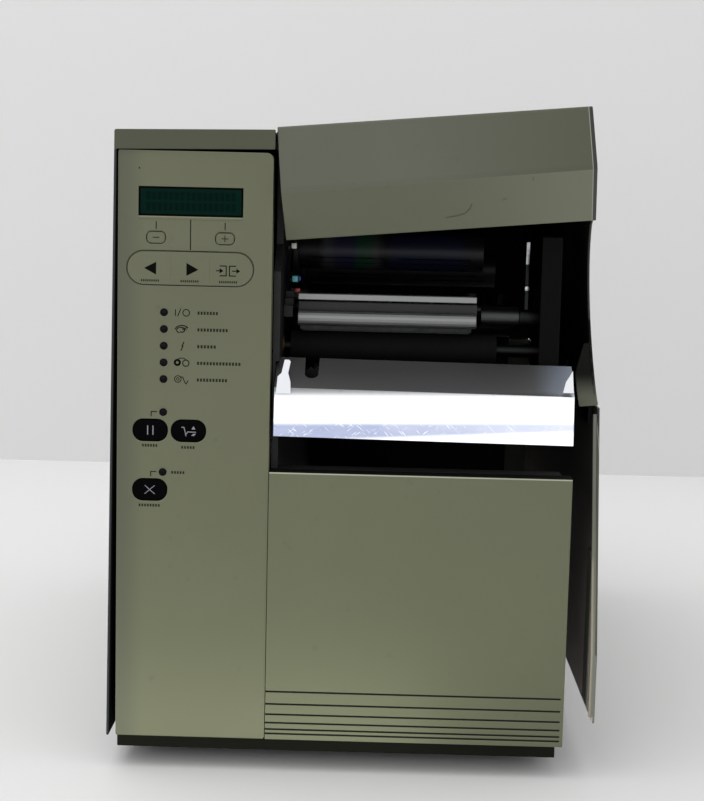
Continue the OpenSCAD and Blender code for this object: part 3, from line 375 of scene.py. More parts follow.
# painted shade: the moulding falls away to its left edge and its colour is darkened there; its rounded
# edges get painted highlights
bezelEnamel = texturedEnamel("bezelEnamel", "#5e6149", "#5a5d45", "#3c3e30", 0.55, wearAndPaintedLight=[
    (faded, {"to": "#4f5240", "axis": "X", "start": -117, "end": -132, "most": 0.9}),
    (paintedEdgeHighlight, {"radius": 0.7})])
keyEnamel = texturedEnamel("keyEnamel", "#5e6149", "#5a5d45", "#3c3e30", 0.55)
# painted highlight: the top edge of the panel is paler where it catches the light from above, and its
# rounded edges too
panelEnamel = texturedEnamel("panelEnamel", "#5d6148", "#595d45", "#3b3d30", 0.55, wearAndPaintedLight=[
    (paintedEdgeStrips, {"turn": 90.0, "tints": [("#a3a594", 185.6)]}),
    (paintedEdgeHighlight, {"radius": 0.5})])
# painted shade: the grooves of the front panel are painted nearly black, as recesses in shade
grooveShadeEnamel = texturedEnamel("grooveShadeEnamel", "#12130a", "#0e0f08", "#060605", 0.7)
# the hem is tan below its bend, and turns grey above it and towards its far side along X
hemEnamel = texturedEnamel("hemEnamel", "#9a9280", "#908876", "#5c5649", 0.55, wearAndPaintedLight=[
    (faded, {"to": "#6c6d64", "axis": "Z", "start": 128, "end": 140}),
    (faded, {"to": "#6c6f64", "axis": "X", "start": 154.8, "end": 156})])
# the return at the front edge lies in the shade of the leaf except at its foot
flangeEnamel = texturedEnamel("flangeEnamel", "#66695c", "#616457", "#41433a", 0.55, gloss=0.1, wearAndPaintedLight=[
    (faded, {"to": "#0c0d0a", "axis": "Z", "start": 230, "end": 246})])
# painted light: the inside of the leaf is made pale towards its foot, where it catches light from the table
innerSheenEnamel = texturedEnamel("innerSheenEnamel", "#45433d", "#3d3b36", "#252320", 0.65, wearAndPaintedLight=[
    (faded, {"to": "#f2e6e2", "axis": "Z", "start": 180, "end": 75})])
# painted shade: the inner faces take the housing's paint darkened nearly to black, standing for the shade
# inside
innerShadeEnamel = texturedEnamel("innerShadeEnamel", "#161813", "#11130f", "#0a0b08", 0.65, gloss=0.15)
# the carrier is worn smoother than the plates around it
carrierEnamel = texturedEnamel("carrierEnamel", "#1c1d1c", "#181918", "#0c0c0c", 0.6)
bayEnamel = texturedEnamel("bayEnamel", "#141513", "#0f100e", "#080808", 0.6)
# painted light: the front wall of the bay is paler than the black bay around it, standing for the light seen
# in the shaded gap under the chute
wallLitEnamel = texturedEnamel("wallLitEnamel", "#333333", "#2e2e2e", "#191919", 0.6)
plateEnamel = texturedEnamel("plateEnamel", "#0c0d0c", "#090a09", "#050505", 0.75, gloss=0.06)
# painted shade: the chassis paint is darkened and browned to the shadow under the machine
chassisShadowEnamel = texturedEnamel("chassisShadowEnamel", "#191913", "#15150f", "#0b0b08", 0.7, gloss=0.12)
blackAbs = mouldedPlastic("blackAbs", "#0a0a0b", "#111212", 0.5)
keyAbs = mouldedPlastic("keyAbs", "#020203", "#050506", 0.45, 0.02)
spindleAbs = mouldedPlastic("spindleAbs", "#121416", "#1b1d1f", 0.45)
bandedCore = ribbonCore("bandedCore", coreLook)
whiteNylon = mouldedPlastic("whiteNylon", "#c8c6bb", "#d6d4ca", 0.4)
tealNylon = mouldedPlastic("tealNylon", "#3f8f8f", "#57a6a5", 0.4)
blueNylon = mouldedPlastic("blueNylon", "#1b1f66", "#2a3080", 0.4)
redNylon = mouldedPlastic("redNylon", "#7c0f0f", "#8c1818", 0.4)
zincSteel = machinedMetal("zincSteel", "#8d9092", "#b4b7b9", 0.3)
darkSteel = machinedMetal("darkSteel", "#1b1c1c", "#282929", 0.4)
satinSteel = machinedMetal("satinSteel", "#7c7d7d", "#878888", 0.45)
sleeveSteel = machinedMetal("sleeveSteel", "#3d3e3e", "#4b4c4c", 0.42)
bearingBronze = machinedMetal("bearingBronze", "#3d2f19", "#54421f", 0.45, (60, 8, 8))
castFrame = castMetal("castFrame", "#0d0e0e", "#151616", 0.6, 0.2)
castAluminium = castMetal("castAluminium", "#2c2e2f", "#3a3c3d", 0.5, 1.0)
platenRubber = vulcanisedRubber("platenRubber", "#040405", "#0a0a0b", 0.85)
footRubber = vulcanisedRubber("footRubber", "#0b0b0b", "#141414", 0.8)
boardMask = solderMask("boardMask", boardLook)
tintedPane = mouldedPlastic("tintedPane", "#020202", "#030403", 0.2, 0.02)
crystalField = mouldedPlastic("crystalField", "#061c17", "#07211b", 0.5, 0.01)
crystalCells = mouldedPlastic("crystalCells", "#051611", "#061a15", 0.5, 0.01)
lampLens = mouldedPlastic("lampLens", "#030305", "#060508", 0.2, 0.08)
panelInk = mouldedPlastic("panelInk", "#080907", "#0e0f0c", 0.6, 0.02)
captionInk = mouldedPlastic("captionInk", "#22241d", "#2a2c24", 0.6, 0.02)
wornPaint = mouldedPlastic("wornPaint", "#4b4e3f", "#515444", 0.6, 0.1)
keyInk = mouldedPlastic("keyInk", "#74747e", "#8b8b95", 0.6)
mirrorStainless = polishedStainless("mirrorStainless", chuteLook)
gussetLook = {**chuteLook, "scuff": 0.15, "dull": "#eceef3", "dullEnd": "#eceef3"}
gussetStainless = polishedStainless("gussetStainless", gussetLook)
print("finishes made")

nodeFinish = {
    bayEnamel: ["print_deck"],
    wallLitEnamel: ["bay_front_wall"],
    castFrame: ["centre_frame", "media_hanger"],
    blackAbs: ["head_cable", "platen_pulley", "motor_pulley", "takeup_pulley", "display_module",
               "power_switch"],
    darkSteel: ["tear_off_bar", "platen_shaft", "ribbon_roller", "dancer_arm", "fold_hinge", "fold_pin",
                "hinge_leaf", "hinge_pin"],
    bearingBronze: ["shaft_bearings"],
    sleeveSteel: ["fixed_shafts"],
    platenRubber: ["platen_roller", "platen_belt", "takeup_belt"],
    footRubber: ["rubber_feet"],
    bandedCore: ["takeup_spindle"],
    spindleAbs: ["supply_spindle"],
    boardMask: ["control_board", "main_board"],
}
for finish, names in nodeFinish.items():
    for name in names:
        cadNodes[name].data.materials.clear()
        cadNodes[name].data.materials.append(finish)


# pieces: every mesh is placed in the frame's own coordinates and rides on a body
def addPiece(name, mesh, finishes, body, stands=()):
    piece = newObject(name, mesh)
    for finish in finishes:
        mesh.materials.append(finish)
    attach(piece, body)
    if stands:
        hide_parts(*stands)
    return piece


refineLook = {"joinMm": 0.002, "flatAngle": 0.004, "edgeAngle": 32}


def refine(node, finishes, edge, choose=None, rounded=False, reshape=None):
    # the node's surface with its triangles joined into flat faces and its edges rounded by a width in
    # millimetres; choose gives each face the number of its finish from its centre and normal, and reshape
    # moves the points, both in millimetres
    shape = bmesh.new()
    shape.from_mesh(cadNodes[node].data)
    bmesh.ops.remove_doubles(shape, verts=shape.verts, dist=refineLook["joinMm"] * mm)
    bmesh.ops.dissolve_limit(shape, angle_limit=refineLook["flatAngle"], verts=shape.verts, edges=shape.edges)
    mesh = bpy.data.meshes.new(node + "Skin")
    shape.to_mesh(mesh)
    shape.free()
    if reshape:
        points = np.empty(3 * len(mesh.vertices))
        mesh.vertices.foreach_get("co", points)
        mesh.vertices.foreach_set("co", reshape(points.reshape(-1, 3) / mm).ravel() * mm)
    if choose:
        centres, normals = np.empty((2, 3 * len(mesh.polygons)))
        mesh.polygons.foreach_get("center", centres)
        mesh.polygons.foreach_get("normal", normals)
        finish = choose(centres.reshape(-1, 3) / mm, normals.reshape(-1, 3))
        mesh.polygons.foreach_set("material_index", finish.astype(np.int32))
    piece = addPiece(node + "Skin", mesh, finishes, bodyOf[node], [node])
    if edge:
        mesh.polygons.foreach_set("use_smooth", np.full(len(mesh.polygons), rounded))
        bevel = piece.modifiers.new("roundedEdges", "BEVEL")
        bevel.width, bevel.segments = edge * mm, 3 if rounded else 2
        bevel.angle_limit = math.radians(refineLook["edgeAngle"])
        bevel.limit_method = "ANGLE"
        bevel.use_clamp_overlap = False
        bevel.harden_normals = rounded


def facing(*middle):
    # 1 for a face that looks towards the middle of the housing, 0 for one that looks outwards
    return lambda centres, normals: ((centres - middle) * normals).sum(1) < 0


faceLines = {"hemX": 156.6, "hemY": -218, "grooveY": (-259.9, -258.4), "grooveZ": (22.6, 60), "flangeZ": 275}


def lowerLeafFaces(centres, normals):
    # outer face and edges, sheet seen from inside, and the hem along the front edge
    hem = (centres[:, 0] < faceLines["hemX"]) & (centres[:, 1] < faceLines["hemY"])
    return np.where(hem & (np.abs(normals[:, 2]) < 0.9), 2, (normals[:, 0] < -0.5) * 1)


def frontPanelFaces(centres, normals):
    # painted shade: the grooves are darkened as shaded recesses, and the top return and the inside take the
    # darkened inner copy of the paint
    (back, front), (foot, top) = faceLines["grooveY"], faceLines["grooveZ"]
    y, z = centres[:, 1], centres[:, 2]
    hidden = facing(48, -244, 100)(centres, normals) | (normals[:, 2] > 0.9)
    return np.where((y > back) & (y < front) & (z > foot) & (z < top), 2, hidden)


def noseFaces(centres, normals):
    # the face below the crease leans back and takes a paler copy of the paint as painted light from below
    low = (normals[:, 1] < -0.5) & (normals[:, 2] < -0.05)
    return np.where(low, 2, facing(60, -250, 357)(centres, normals))


def upperLeafFaces(centres, normals):
    # the outside and the return along the front edge
    flange = (centres[:, 2] < faceLines["flangeZ"]) & (normals[:, 1] < -0.5)
    return np.where(flange, 2, facing(60, 0, 300)(centres, normals))


skinPlan = {
    "electronics_cover": ((coverEnamel, innerShadeEnamel), 0.5, facing(-90, 0, 200)),
    "control_bezel": ((bezelEnamel, innerShadeEnamel), 0, facing(-90, -246, 200)),
    "front_panel": ((panelEnamel, innerShadeEnamel, grooveShadeEnamel), 0.4, frontPanelFaces),
    "rear_panel": ((coverEnamel, innerShadeEnamel), 0.3, facing(0, 0, 200)),
    "door_upper_leaf": ((doorEnamel, innerShadeEnamel, flangeEnamel), 0.5, upperLeafFaces),
    "door_lower_leaf": ((doorEnamel, innerSheenEnamel, hemEnamel), 0.4, lowerLeafFaces),
    "base_pan": ((chassisShadowEnamel,), 0.5),
    "outer_side_plate": ((plateEnamel,), 0.5),
    "head_carrier": ((carrierEnamel,), 0.5),
    "print_head": ((castAluminium,), 0.3),
    "stepper_motor": ((blackAbs,), 0.6),
    "media_sensor": ((blackAbs,), 0.3),
    "power_inlet": ((blackAbs,), 0.4),
    "power_supply": ((zincSteel,), 0.4),
    "data_ports": ((zincSteel,), 0.3),
    "door_catch": ((blackAbs,), 0.3),
}
roundPlan = {
    "head_lever": ((darkSteel, zincSteel), 0.3, lambda centres, normals: centres[:, 2] > 311),
    "media_guide": ((blackAbs,), 0.6),
    "pause_button": ((keyAbs,), 0.9),
    "feed_button": ((keyAbs,), 0.9),
    "cancel_button": ((keyAbs,), 0.9),
    "minus_key": ((keyEnamel,), 0.2),
    "plus_key": ((keyEnamel,), 0.2),
    "cover_screws": ((zincSteel,), 0.5),
}
for rounded, plan in ((False, skinPlan), (True, roundPlan)):
    for node, values in plan.items():
        refine(node, *values, rounded=rounded)

coverFit = {"lift": 1.2, "short": 2.6, "endX": 60}


def settleCover(points):
    # the cover strip sits slightly high on its clips and stops short of the end plate
    points[:, 2] += coverFit["lift"]
    points[points[:, 0] > coverFit["endX"], 0] -= coverFit["short"]
    return points


chuteFit = {"skew": 0.0085, "end": 138.3, "lift": 1.2, "tearZ": 245}


def settleChute(points):
    # the chute hangs slightly skewed: its left end is lifted most, and its tear edge a little more
    points[:, 2] += chuteFit["skew"] * (chuteFit["end"] - points[:, 0])
    points[points[:, 2] > chuteFit["tearZ"], 2] += chuteFit["lift"]
    return points


noseFit = {"rise": 0.0108, "startX": -41, "faceY": -264}


def raiseCrease(points):
    # the crease of the nose climbs towards the outer end
    fold = points[:, 1] < noseFit["faceY"]
    points[fold, 2] += noseFit["rise"] * (points[fold, 0] - noseFit["startX"])
    return points


keyPad = {"splits": (-103.5, -80.5), "reach": 0.15, "gap": 0.02, "edge": 0.02}


def closeSplit(points):
    # the touching sides of the three long keys come almost together, so that they read as one field
    for split in keyPad["splits"]:
        near = np.abs(points[:, 0] - split) < keyPad["reach"]
        points[near, 0] = split + np.sign(points[near, 0] - split) * keyPad["gap"]
    return points


refine("head_cover", (satinSteel,), 0.4, reshape=settleCover)
refine("label_chute", (mirrorStainless,), 0.25, reshape=settleChute)
refine("door_nose", (doorEnamel, innerShadeEnamel, noseUnderLitEnamel), 0.5, noseFaces, reshape=raiseCrease)
for node in ("previous_key", "next_key", "setup_key"):
    refine(node, (keyEnamel,), keyPad["edge"], reshape=closeSplit)
print("housings and keys refined")

# printed marks: flat strokes and fills on a face, given the thickness of the ink
inkLook = {"thick": 0.06, "sink": 0.02, "dashPitch": 0.85, "dashFill": 0.62, "dashHeight": 0.84}


def inkRibbon(line, width, closed=False):
    # left and right edges of a stroke: the line moved sideways by half its width, along the mitre at a bend
    line = np.asarray(line, float)
    after = np.roll(line, -1, 0) - line
    after /= np.linalg.norm(after, axis=1)[:, None]
    before = np.roll(after, 1, 0)
    if not closed:
        after[-1], before[0] = before[-1], after[0]
    side = np.stack([-after[:, 1], after[:, 0]], 1)
    mitre = side + np.stack([-before[:, 1], before[:, 0]], 1)
    mitre *= width / 2 / np.maximum((mitre * side).sum(1), 0.5)[:, None]
    count = len(line)
    i = np.arange(count if closed else count - 1)
    k = (i + 1) % count
    return np.concatenate([line + mitre, line - mitre]), np.stack([i, i + count, k + count, k], 1).tolist()


def addInk(name, body, finish, level, strokes=(), fills=(), thick=inkLook["thick"], onto=None):
    # strokes are (line, width), with True for a closed one, and fills are outlines that run anticlockwise
    # seen from the front, in millimetres; they lie on the upright face at level or where onto puts them
    points, faces, start = [], [], 0
    for stroke in strokes:
        edge, quads = inkRibbon(*stroke)
        points.append(edge)
        faces += [[v + start for v in quad] for quad in quads]
        start += len(edge)
    for outline in fills:
        points.append(np.asarray(outline, float))
        faces.append(list(range(start, start + len(outline))))
        start += len(outline)
    flat = np.concatenate(points)
    upright = np.stack([flat[:, 0], np.full(len(flat), level + inkLook["sink"]), flat[:, 1]], 1) * mm
    mesh = bpy.data.meshes.new(name)
    mesh.from_pydata((onto(flat) if onto else upright).tolist(), [], faces)
    piece = addPiece(name, mesh, [finish], body)
    ink = piece.modifiers.new("inkThickness", "SOLIDIFY")
    ink.thickness, ink.offset = (thick + inkLook["sink"]) * mm, 1.0


def loop(x, z, w, h, r, steps=7):
    # four quarter circles of radius r, one at each corner of a w by h rectangle, joined in order
    turn = (np.arange(4)[:, None] + np.linspace(0, 1, steps)) * np.pi / 2
    corner = np.array([[1, 1], [-1, 1], [-1, -1], [1, -1]])[:, None] * (w / 2 - r, h / 2 - r)
    return (corner + r * np.stack([np.cos(turn), np.sin(turn)], -1)).reshape(-1, 2) + (x, z)


def arcLine(x, z, rx, rz, start=0, end=360, steps=18):
    # part of an ellipse between two angles in degrees
    turn = np.radians(np.linspace(start, end, steps + 1))
    return np.stack([x + rx * np.cos(turn), z + rz * np.sin(turn)], 1)


def disc(x, z, r, steps=16):
    return arcLine(x, z, r, r, 0, 360, steps)[:-1]


def dashes(x0, x1, z, height):
    # a caption as plain dashes: marks of equal height with narrow gaps from x0 to x1
    count = max(3, round((x1 - x0) / (inkLook["dashPitch"] * height)))
    left = x0 + np.arange(count) * (x1 - x0) / count
    right = left + inkLook["dashFill"] * (x1 - x0) / count
    half = inkLook["dashHeight"] / 2 * height
    low, high = np.full(count, z - half), np.full(count, z + half)
    return list(np.stack([left, low, right, low, right, high, left, high], 1).reshape(count, 4, 2))


panel = {"keyX": -92.0, "lampX": -107.3, "faceY": -259.0, "keyY": -259.3, "line": 0.55, "iconX": -96.3,
         "lamps": (280.9, 270.9, 260.9, 250.9, 240.9), "pauseLamp": 221.0, "dataLamp": 184.6,
         "captionX": -87.3, "captions": (12.7, 18.7, 11.8, 26.6, 18.7), "captionH": 2.2, "wordH": 1.9,
         "words": ((-119.8, -110.1, 200.7), (-96.2, -87.7, 200.0), (-102.1, -93.6, 184.6),
                   (-121.6, -108.3, 164.2)),
         "tickX": 20.4, "tickZ": (334.6, 330.2), "stemZ": (336.0, 318.2), "hookX": (-114.5, -111.1),
         "dot": (-122.5, 365.7, 0.5)}
midX, lineW, faceY, keyY = (panel[k] for k in ("keyX", "line", "faceY", "keyY"))


def moved(strokes, x, z):
    # strokes drawn about the middle of their sign, brought to its place
    return [(np.add(line, (x, z)), *look) for line, *look in strokes]


# the signs beside the lamps from the top down
icons = [
    # on and off: a bar, a slash and a ring
    [([(-4.2, -2.0), (-4.2, 2.0)], 0.5), ([(-2.9, -2.3), (-1.1, 2.3)], 0.5),
     (disc(2.2, 0, 2.0), 0.5, True)],
    # a label peeled from its roll: three leaves of a curl
    [(arcLine(-0.2, -1.2, 4.5, 3.6, 160, 38), 0.6),
     (arcLine(-0.8, -0.4, 2.6, 1.7, 20, 250), 0.55),
     (arcLine(-0.2, -0.6, 1.5, 1.0, -140, 90), 0.6),
     ([(3.3, 1.0), (1.2, 0.9), (2.6, -0.4)], 0.5)],
    # a fault: a kinked flash
    [([(1.1, 2.7), (-0.1, 0.2), (0.5, 0.1), (-0.8, -2.6)], 0.55)],
    # ribbon: a full and an empty core with the ribbon between them
    [(disc(-2.8, 0.2, 1.5), 1.3, True), (disc(2.3, -0.1, 1.9), 0.55, True),
     (arcLine(-0.2, 1.6, 2.6, 1.3, 150, 20), 0.45)],
    # labels: a roll with its web running down and up
    [(disc(-2.4, 0.3, 2.0), 0.45, True), (disc(-2.4, 0.3, 0.8, 10), 0.4, True),
     ([(-1.0, 1.7), (0.6, 1.4), (1.2, -0.2), (1.9, -1.9), (2.7, -2.5), (3.8, -0.4)], 0.5)],
]
ticks = [[(midX + side * panel["tickX"], z) for z in panel["tickZ"]] for side in (-1, 1)]
marks = [(line, lineW) for line in (*ticks, [(midX, z) for z in panel["stemZ"]])]
left, right = panel["hookX"]
for z in (panel["pauseLamp"], panel["dataLamp"]):
    marks += [([(left, z - 2.7), (left, z + 0.2), (right, z + 0.2)], lineW)]
for icon, z in zip(icons, panel["lamps"]):
    marks += moved(icon, panel["iconX"], z)
addInk("panelMarks", "chassis", panelInk, faceY, marks, [disc(*panel["dot"], 8)])

# captions beside the five lamps, then those of the buttons and the lamp between them
left = panel["captionX"]
lines = [(left, left + w, z, panel["captionH"]) for z, w in zip(panel["lamps"], panel["captions"])]
lines += [(*word, panel["wordH"]) for word in panel["words"]]
words = [dash for line in lines for dash in dashes(*line)]
addInk("panelCaptions", "chassis", captionInk, faceY, (), words)


def keySign(name, node, x, z, strokes=(), fills=(), ink=panelInk, slot="panel_plastic", edge=()):
    # a sign drawn about its own middle and brought to its place on a key, after the key's own outline
    addInk(name, bodyOf[node], ink, keyY, [*edge, *moved(strokes, x, z)],
           [np.add(fill, (x, z)) for fill in fills])


# the three long keys share one outline, a pill cut at the splits, and each has its own sign
pill = {"z": 307.2, "w": 75.4, "h": 20.4, "in": 0.2, "line": 0.34, "captionZ": 299.7, "captionW": 11.2,
        "captionX": {"previous": -115.6, "next": -92.1, "setup": -69.2}}
topLine, lowLine = pill["z"] + pill["h"] / 2 - pill["in"], pill["z"] - pill["h"] / 2 + pill["in"]
bend = pill["h"] / 2 - 0.1 - pill["in"]
leftC, rightC = midX - pill["w"] / 2 + pill["h"] / 2, midX + pill["w"] / 2 - pill["h"] / 2
leftCut, rightCut = keyPad["splits"]
gap = keyPad["gap"]
leftArc = np.concatenate([[(leftCut - gap, topLine)], arcLine(leftC, pill["z"], bend, bend, 90, 270, 28),
                          [(leftCut - gap, lowLine)]])
rightArc = np.concatenate([[(rightCut + gap, lowLine)], arcLine(rightC, pill["z"], bend, bend, -90, 90, 28),
                           [(rightCut + gap, topLine)]])
bars = [[(leftCut + gap, z), (rightCut - gap, z)] for z in (topLine, lowLine)]
keySign("previousMark", "previous_key", -115.7, pill["z"], (), [[(-3.6, -0.2), (3.5, -4.0), (3.5, 3.6)]],
        edge=[(leftArc, pill["line"])])
keySign("nextMark", "next_key", -90.7, pill["z"], (), [[(3.6, -0.6), (-3.5, 3.3), (-3.5, -4.3)]],
        edge=[(bar, pill["line"]) for bar in bars])
# two brackets with an arrow through each
arrows = [[(-5.0, 2.9), (-1.1, 2.9), (-1.1, -2.9), (-5.0, -2.9)],
          [(4.7, 2.9), (0.8, 2.9), (0.8, -2.9), (4.7, -2.9)], [(-7.1, 0), (-4.8, 0)], [(2.4, 0), (5.2, 0)]]
keySign("setupMark", "setup_key", -69.5, pill["z"] - 0.9, [(line, 0.6) for line in arrows],
        [[(-2.7, 0), (-5.0, 1.5), (-5.0, -1.5)], [(7.2, 0), (5.0, 1.5), (5.0, -1.5)]],
        edge=[(rightArc, pill["line"])])
half = pill["captionW"] / 2
for key, x in pill["captionX"].items():
    keySign(key + "Caption", key + "_key", x, pill["captionZ"], (), dashes(-half, half, 0, 1.5), captionInk)

# a minus and a plus in rounded boxes, then the signs of the three round buttons
buttons = {"softZ": 325.2, "leftX": -115.0, "rightX": midX + 0.2, "topZ": 210.0, "lowZ": 173.8}
onButton = {"ink": keyInk, "slot": "key_plastic"}
box, bar = (loop(0, 0, 10.8, 6.7, 2.5), 0.3, True), ([(-2.0, 0), (2.0, 0)], 0.45)
upright = [([(0, a), (0, b)], 0.45) for a, b in ((-2.0, -0.22), (0.22, 2.0))]
keySign("minusMark", "minus_key", midX - panel["tickX"], buttons["softZ"], [box, bar])
keySign("plusMark", "plus_key", midX + panel["tickX"], buttons["softZ"], [box, bar, *upright])
pause = [[(x - 0.3, -2.8), (x + 0.3, -2.8), (x + 0.3, 2.8), (x - 0.3, 2.8)] for x in (-1.5, 1.7)]
keySign("pauseMark", "pause_button", buttons["leftX"], buttons["topZ"], (), pause, **onButton)
feed = [[(-4.4, 2.2), (-2.9, 2.2), (-2.1, -1.0), (-1.6, -3.2)],
        [(-1.5, -1.9), (-0.6, -0.5), (1.2, -0.6), (4.3, -0.6)]]
keySign("feedMark", "feed_button", buttons["rightX"], buttons["topZ"], [(line, 0.5) for line in feed],
        [[(1.6, 1.0), (4.0, 1.0), (2.8, 3.0)], [(1.4, -2.9), (3.2, -2.9), (4.4, -1.5), (2.6, -1.7)]],
        **onButton)
cross = [[(-3.0, 2.6), (3.0, -2.6)], [(3.0, 2.6), (0.2, 0.17)], [(-0.2, -0.17), (-3.0, -2.6)]]
keySign("cancelMark", "cancel_button", buttons["leftX"], buttons["lowZ"],
        [(line, 0.4) for line in cross], **onButton)

# display: black glass, a green field behind it with two rows of dim character cells, and a sill below
display = {"x": -92.0, "z": 346.5, "w": 62.0, "h": 17.4, "frame": 1.3, "cells": 16, "cell": (2.5, 4.6),
           "pitch": (3.35, 6.2), "fieldY": -258.8, "cellY": -258.83, "reflectionBand": 0.03}
x, z, (across, up) = display["x"], display["z"], display["pitch"]
refine("display_window", (tintedPane,), 0.1)
addInk("crystalField", "chassis", crystalField, display["fieldY"], (),
       [loop(x, z, display["w"] - 2 * display["frame"], display["h"] - 2 * display["frame"], 0.6, 3)],
       display["reflectionBand"])
cells = [loop(x + (i - (display["cells"] - 1) / 2) * across, z + row * up / 2, *display["cell"], 0.2, 2)
         for i in range(display["cells"]) for row in (-1, 1)]
addInk("crystalCells", "chassis", crystalCells, display["cellY"], (), cells, display["reflectionBand"])
print("marks printed")


# closed surfaces: rings of points carried along a line and closed at both ends
def joinSurfaces(name, grids, finish, body, stands=()):
    # grid[i, j] is the point j of the ring i: neighbours are joined into quads, and the first and the last
    # ring are closed by one face each
    points, faces, start = [], [], 0
    for grid in grids:
        rows, cols = grid.shape[:2]
        i, j = np.arange(rows - 1)[:, None], np.arange(cols)[None]
        nj = (j + 1) % cols
        quads = np.stack([i * cols + j, i * cols + nj, (i + 1) * cols + nj, (i + 1) * cols + j], -1) + start
        faces += quads.reshape(-1, 4).tolist()
        ring = np.arange(start, start + cols)
        faces += [ring[::-1].tolist(), (ring + (rows - 1) * cols).tolist()]
        points.append(grid.reshape(-1, 3))
        start += rows * cols
    mesh = bpy.data.meshes.new(name)
    mesh.from_pydata(np.concatenate(points).tolist(), [], faces)
    shape = bmesh.new()
    shape.from_mesh(mesh)
    bmesh.ops.recalc_face_normals(shape, faces=shape.faces)
    shape.to_mesh(mesh)
    shape.free()
    mesh.polygons.foreach_set("use_smooth", np.ones(len(mesh.polygons), bool))
    mesh.set_sharp_from_angle(angle=math.radians(40))
    addPiece(name, mesh, [finish], body, stands)


def turnedGrid(profile, centre, axis, sides=20):
    # a profile of (distance along the axis, radius) carried once round the axis, in millimetres
    profile = np.asarray(profile, float)[..., None, None]
    axis = np.asarray(axis, float)
    u = np.cross(axis, (0, 0, 1) if abs(axis[2]) < 0.9 else (1, 0, 0))
    u /= np.linalg.norm(u)
    turn = np.linspace(0, 2 * np.pi, sides, endpoint=False)[:, None]
    ring = np.cos(turn) * u + np.sin(turn) * np.cross(axis, u)
    return (np.asarray(centre, float) + profile[:, 0] * axis + profile[:, 1] * ring) * mm


def tubeGrid(path, radius, sides=8, steps=24):
    # a circle carried along a smooth curve near the path's points, in millimetres: the path is cut into even
    # steps, and each point moves to a weighted mean of its neighbours
    path = np.asarray(path, float)
    knots, fine = np.arange(len(path)), np.linspace(0, len(path) - 1, steps)
    curve = np.stack([np.interp(fine, knots, path[:, k]) for k in range(3)], 1)
    weight = np.array([1, 2, 3, 2, 1]) / 9
    padded = np.concatenate([np.repeat(curve[:1], 2, 0), curve, np.repeat(curve[-1:], 2, 0)])
    soft = sum(w * padded[k:k + steps] for k, w in enumerate(weight))
    soft[0], soft[-1] = curve[0], curve[-1]
    ahead = np.gradient(soft, axis=0)
    ahead /= np.linalg.norm(ahead, axis=1)[:, None]
    u = np.cross(ahead, (0.31, 0.22, 0.93))
    u /= np.linalg.norm(u, axis=1)[:, None]
    v = np.cross(ahead, u)
    turn = np.linspace(0, 2 * np.pi, sides, endpoint=False)[:, None]
    return (soft[:, None] + radius * (np.cos(turn) * u[:, None] + np.sin(turn) * v[:, None])) * mm


def boxGrid(x, y, z, radius=0.4):
    # a rounded rectangle carried along X, a little smaller at both ends
    section = loop(sum(y) / 2, sum(z) / 2, y[1] - y[0], z[1] - z[0], radius, 3)
    middle = section.mean(0)
    ends = 1 - radius / max(2, y[1] - y[0])
    plan = ((x[0], ends), (x[0] + radius, 1), (x[1] - radius, 1), (x[1], ends))
    return np.array([np.insert(middle + (section - middle) * size, 0, along, 1) for along, size in plan]) * mm


# indicator lamps: domed lenses, each a dome on a short barrel with a flange behind the panel
lens = {"r": 2.4, "dome": 0.9}
turn = np.linspace(0, np.pi / 2, 7)
dome = np.stack([-lens["dome"] * np.sin(turn), lens["r"] * np.cos(turn)], 1)[:-1]
lensProfile = np.concatenate([[(8.9, 1.5), (4.0, 1.5), (4.0, 2.8), (3.0, 2.8), (3.0, lens["r"])], dome,
                              [(-lens["dome"], 0.05)]])
lampHeights = (*panel["lamps"], panel["pauseLamp"], panel["dataLamp"])
joinSurfaces("lampLenses", [turnedGrid(lensProfile, (panel["lampX"], faceY, z), (0, 1, 0))
                            for z in lampHeights], lampLens, "chassis", ["indicator_lenses"])

# sill under the display: a wedge whose sloping top catches the light
sill = {"drop": 1.5, "stand": 0.45, "gap": 0.15, "short": 0.6}
topZ = display["z"] - display["h"] / 2 - sill["gap"]
footZ, outY = topZ - sill["drop"], faceY - sill["stand"]
wedge = np.array([(faceY + 0.05, topZ), (faceY - 0.05, topZ), (outY, footZ + 0.25), (outY + 0.2, footZ),
                  (faceY + 0.05, footZ)])
sillX = display["x"] + np.array([-0.5, 0.5]) * (display["w"] - sill["short"])
joinSurfaces("displaySill", [np.array([np.insert(wedge, 0, x, 1) for x in sillX]) * mm], bezelEnamel,
             "chassis")

# folded gussets at the ends of the chute's top: thin sheet from the bend up to the tear edge
gusset = {"left": [(-39.8, 234.4), (-31.0, 234.4), (-31.4, 241.0), (-33.0, 246.0), (-31.8, 252.6),
                   (-32.8, 253.6), (-35.4, 253.6), (-36.4, 249.0), (-37.0, 246.0), (-39.2, 244.0)],
          "right": [(131.2, 238.6), (137.6, 238.6), (137.4, 251.2), (135.4, 248.0), (133.0, 244.6)],
          "foot": (-260.6, 236.2), "head": (-252.5, 250.6), "thick": 0.5}


def gussetGrid(outline):
    # the outline leans back from its foot to its head and is pushed back by its thickness
    (footY, footZ), (headY, headZ) = gusset["foot"], gusset["head"]
    x, z = np.transpose(outline)
    front = np.stack([x, footY + (z - footZ) / (headZ - footZ) * (headY - footY), z], 1)
    return np.array([front, front + (0, gusset["thick"], 0)]) * mm


joinSurfaces("chuteGussets", [gussetGrid(gusset["left"]), gussetGrid(gusset["right"])], gussetStainless,
             "chassis")

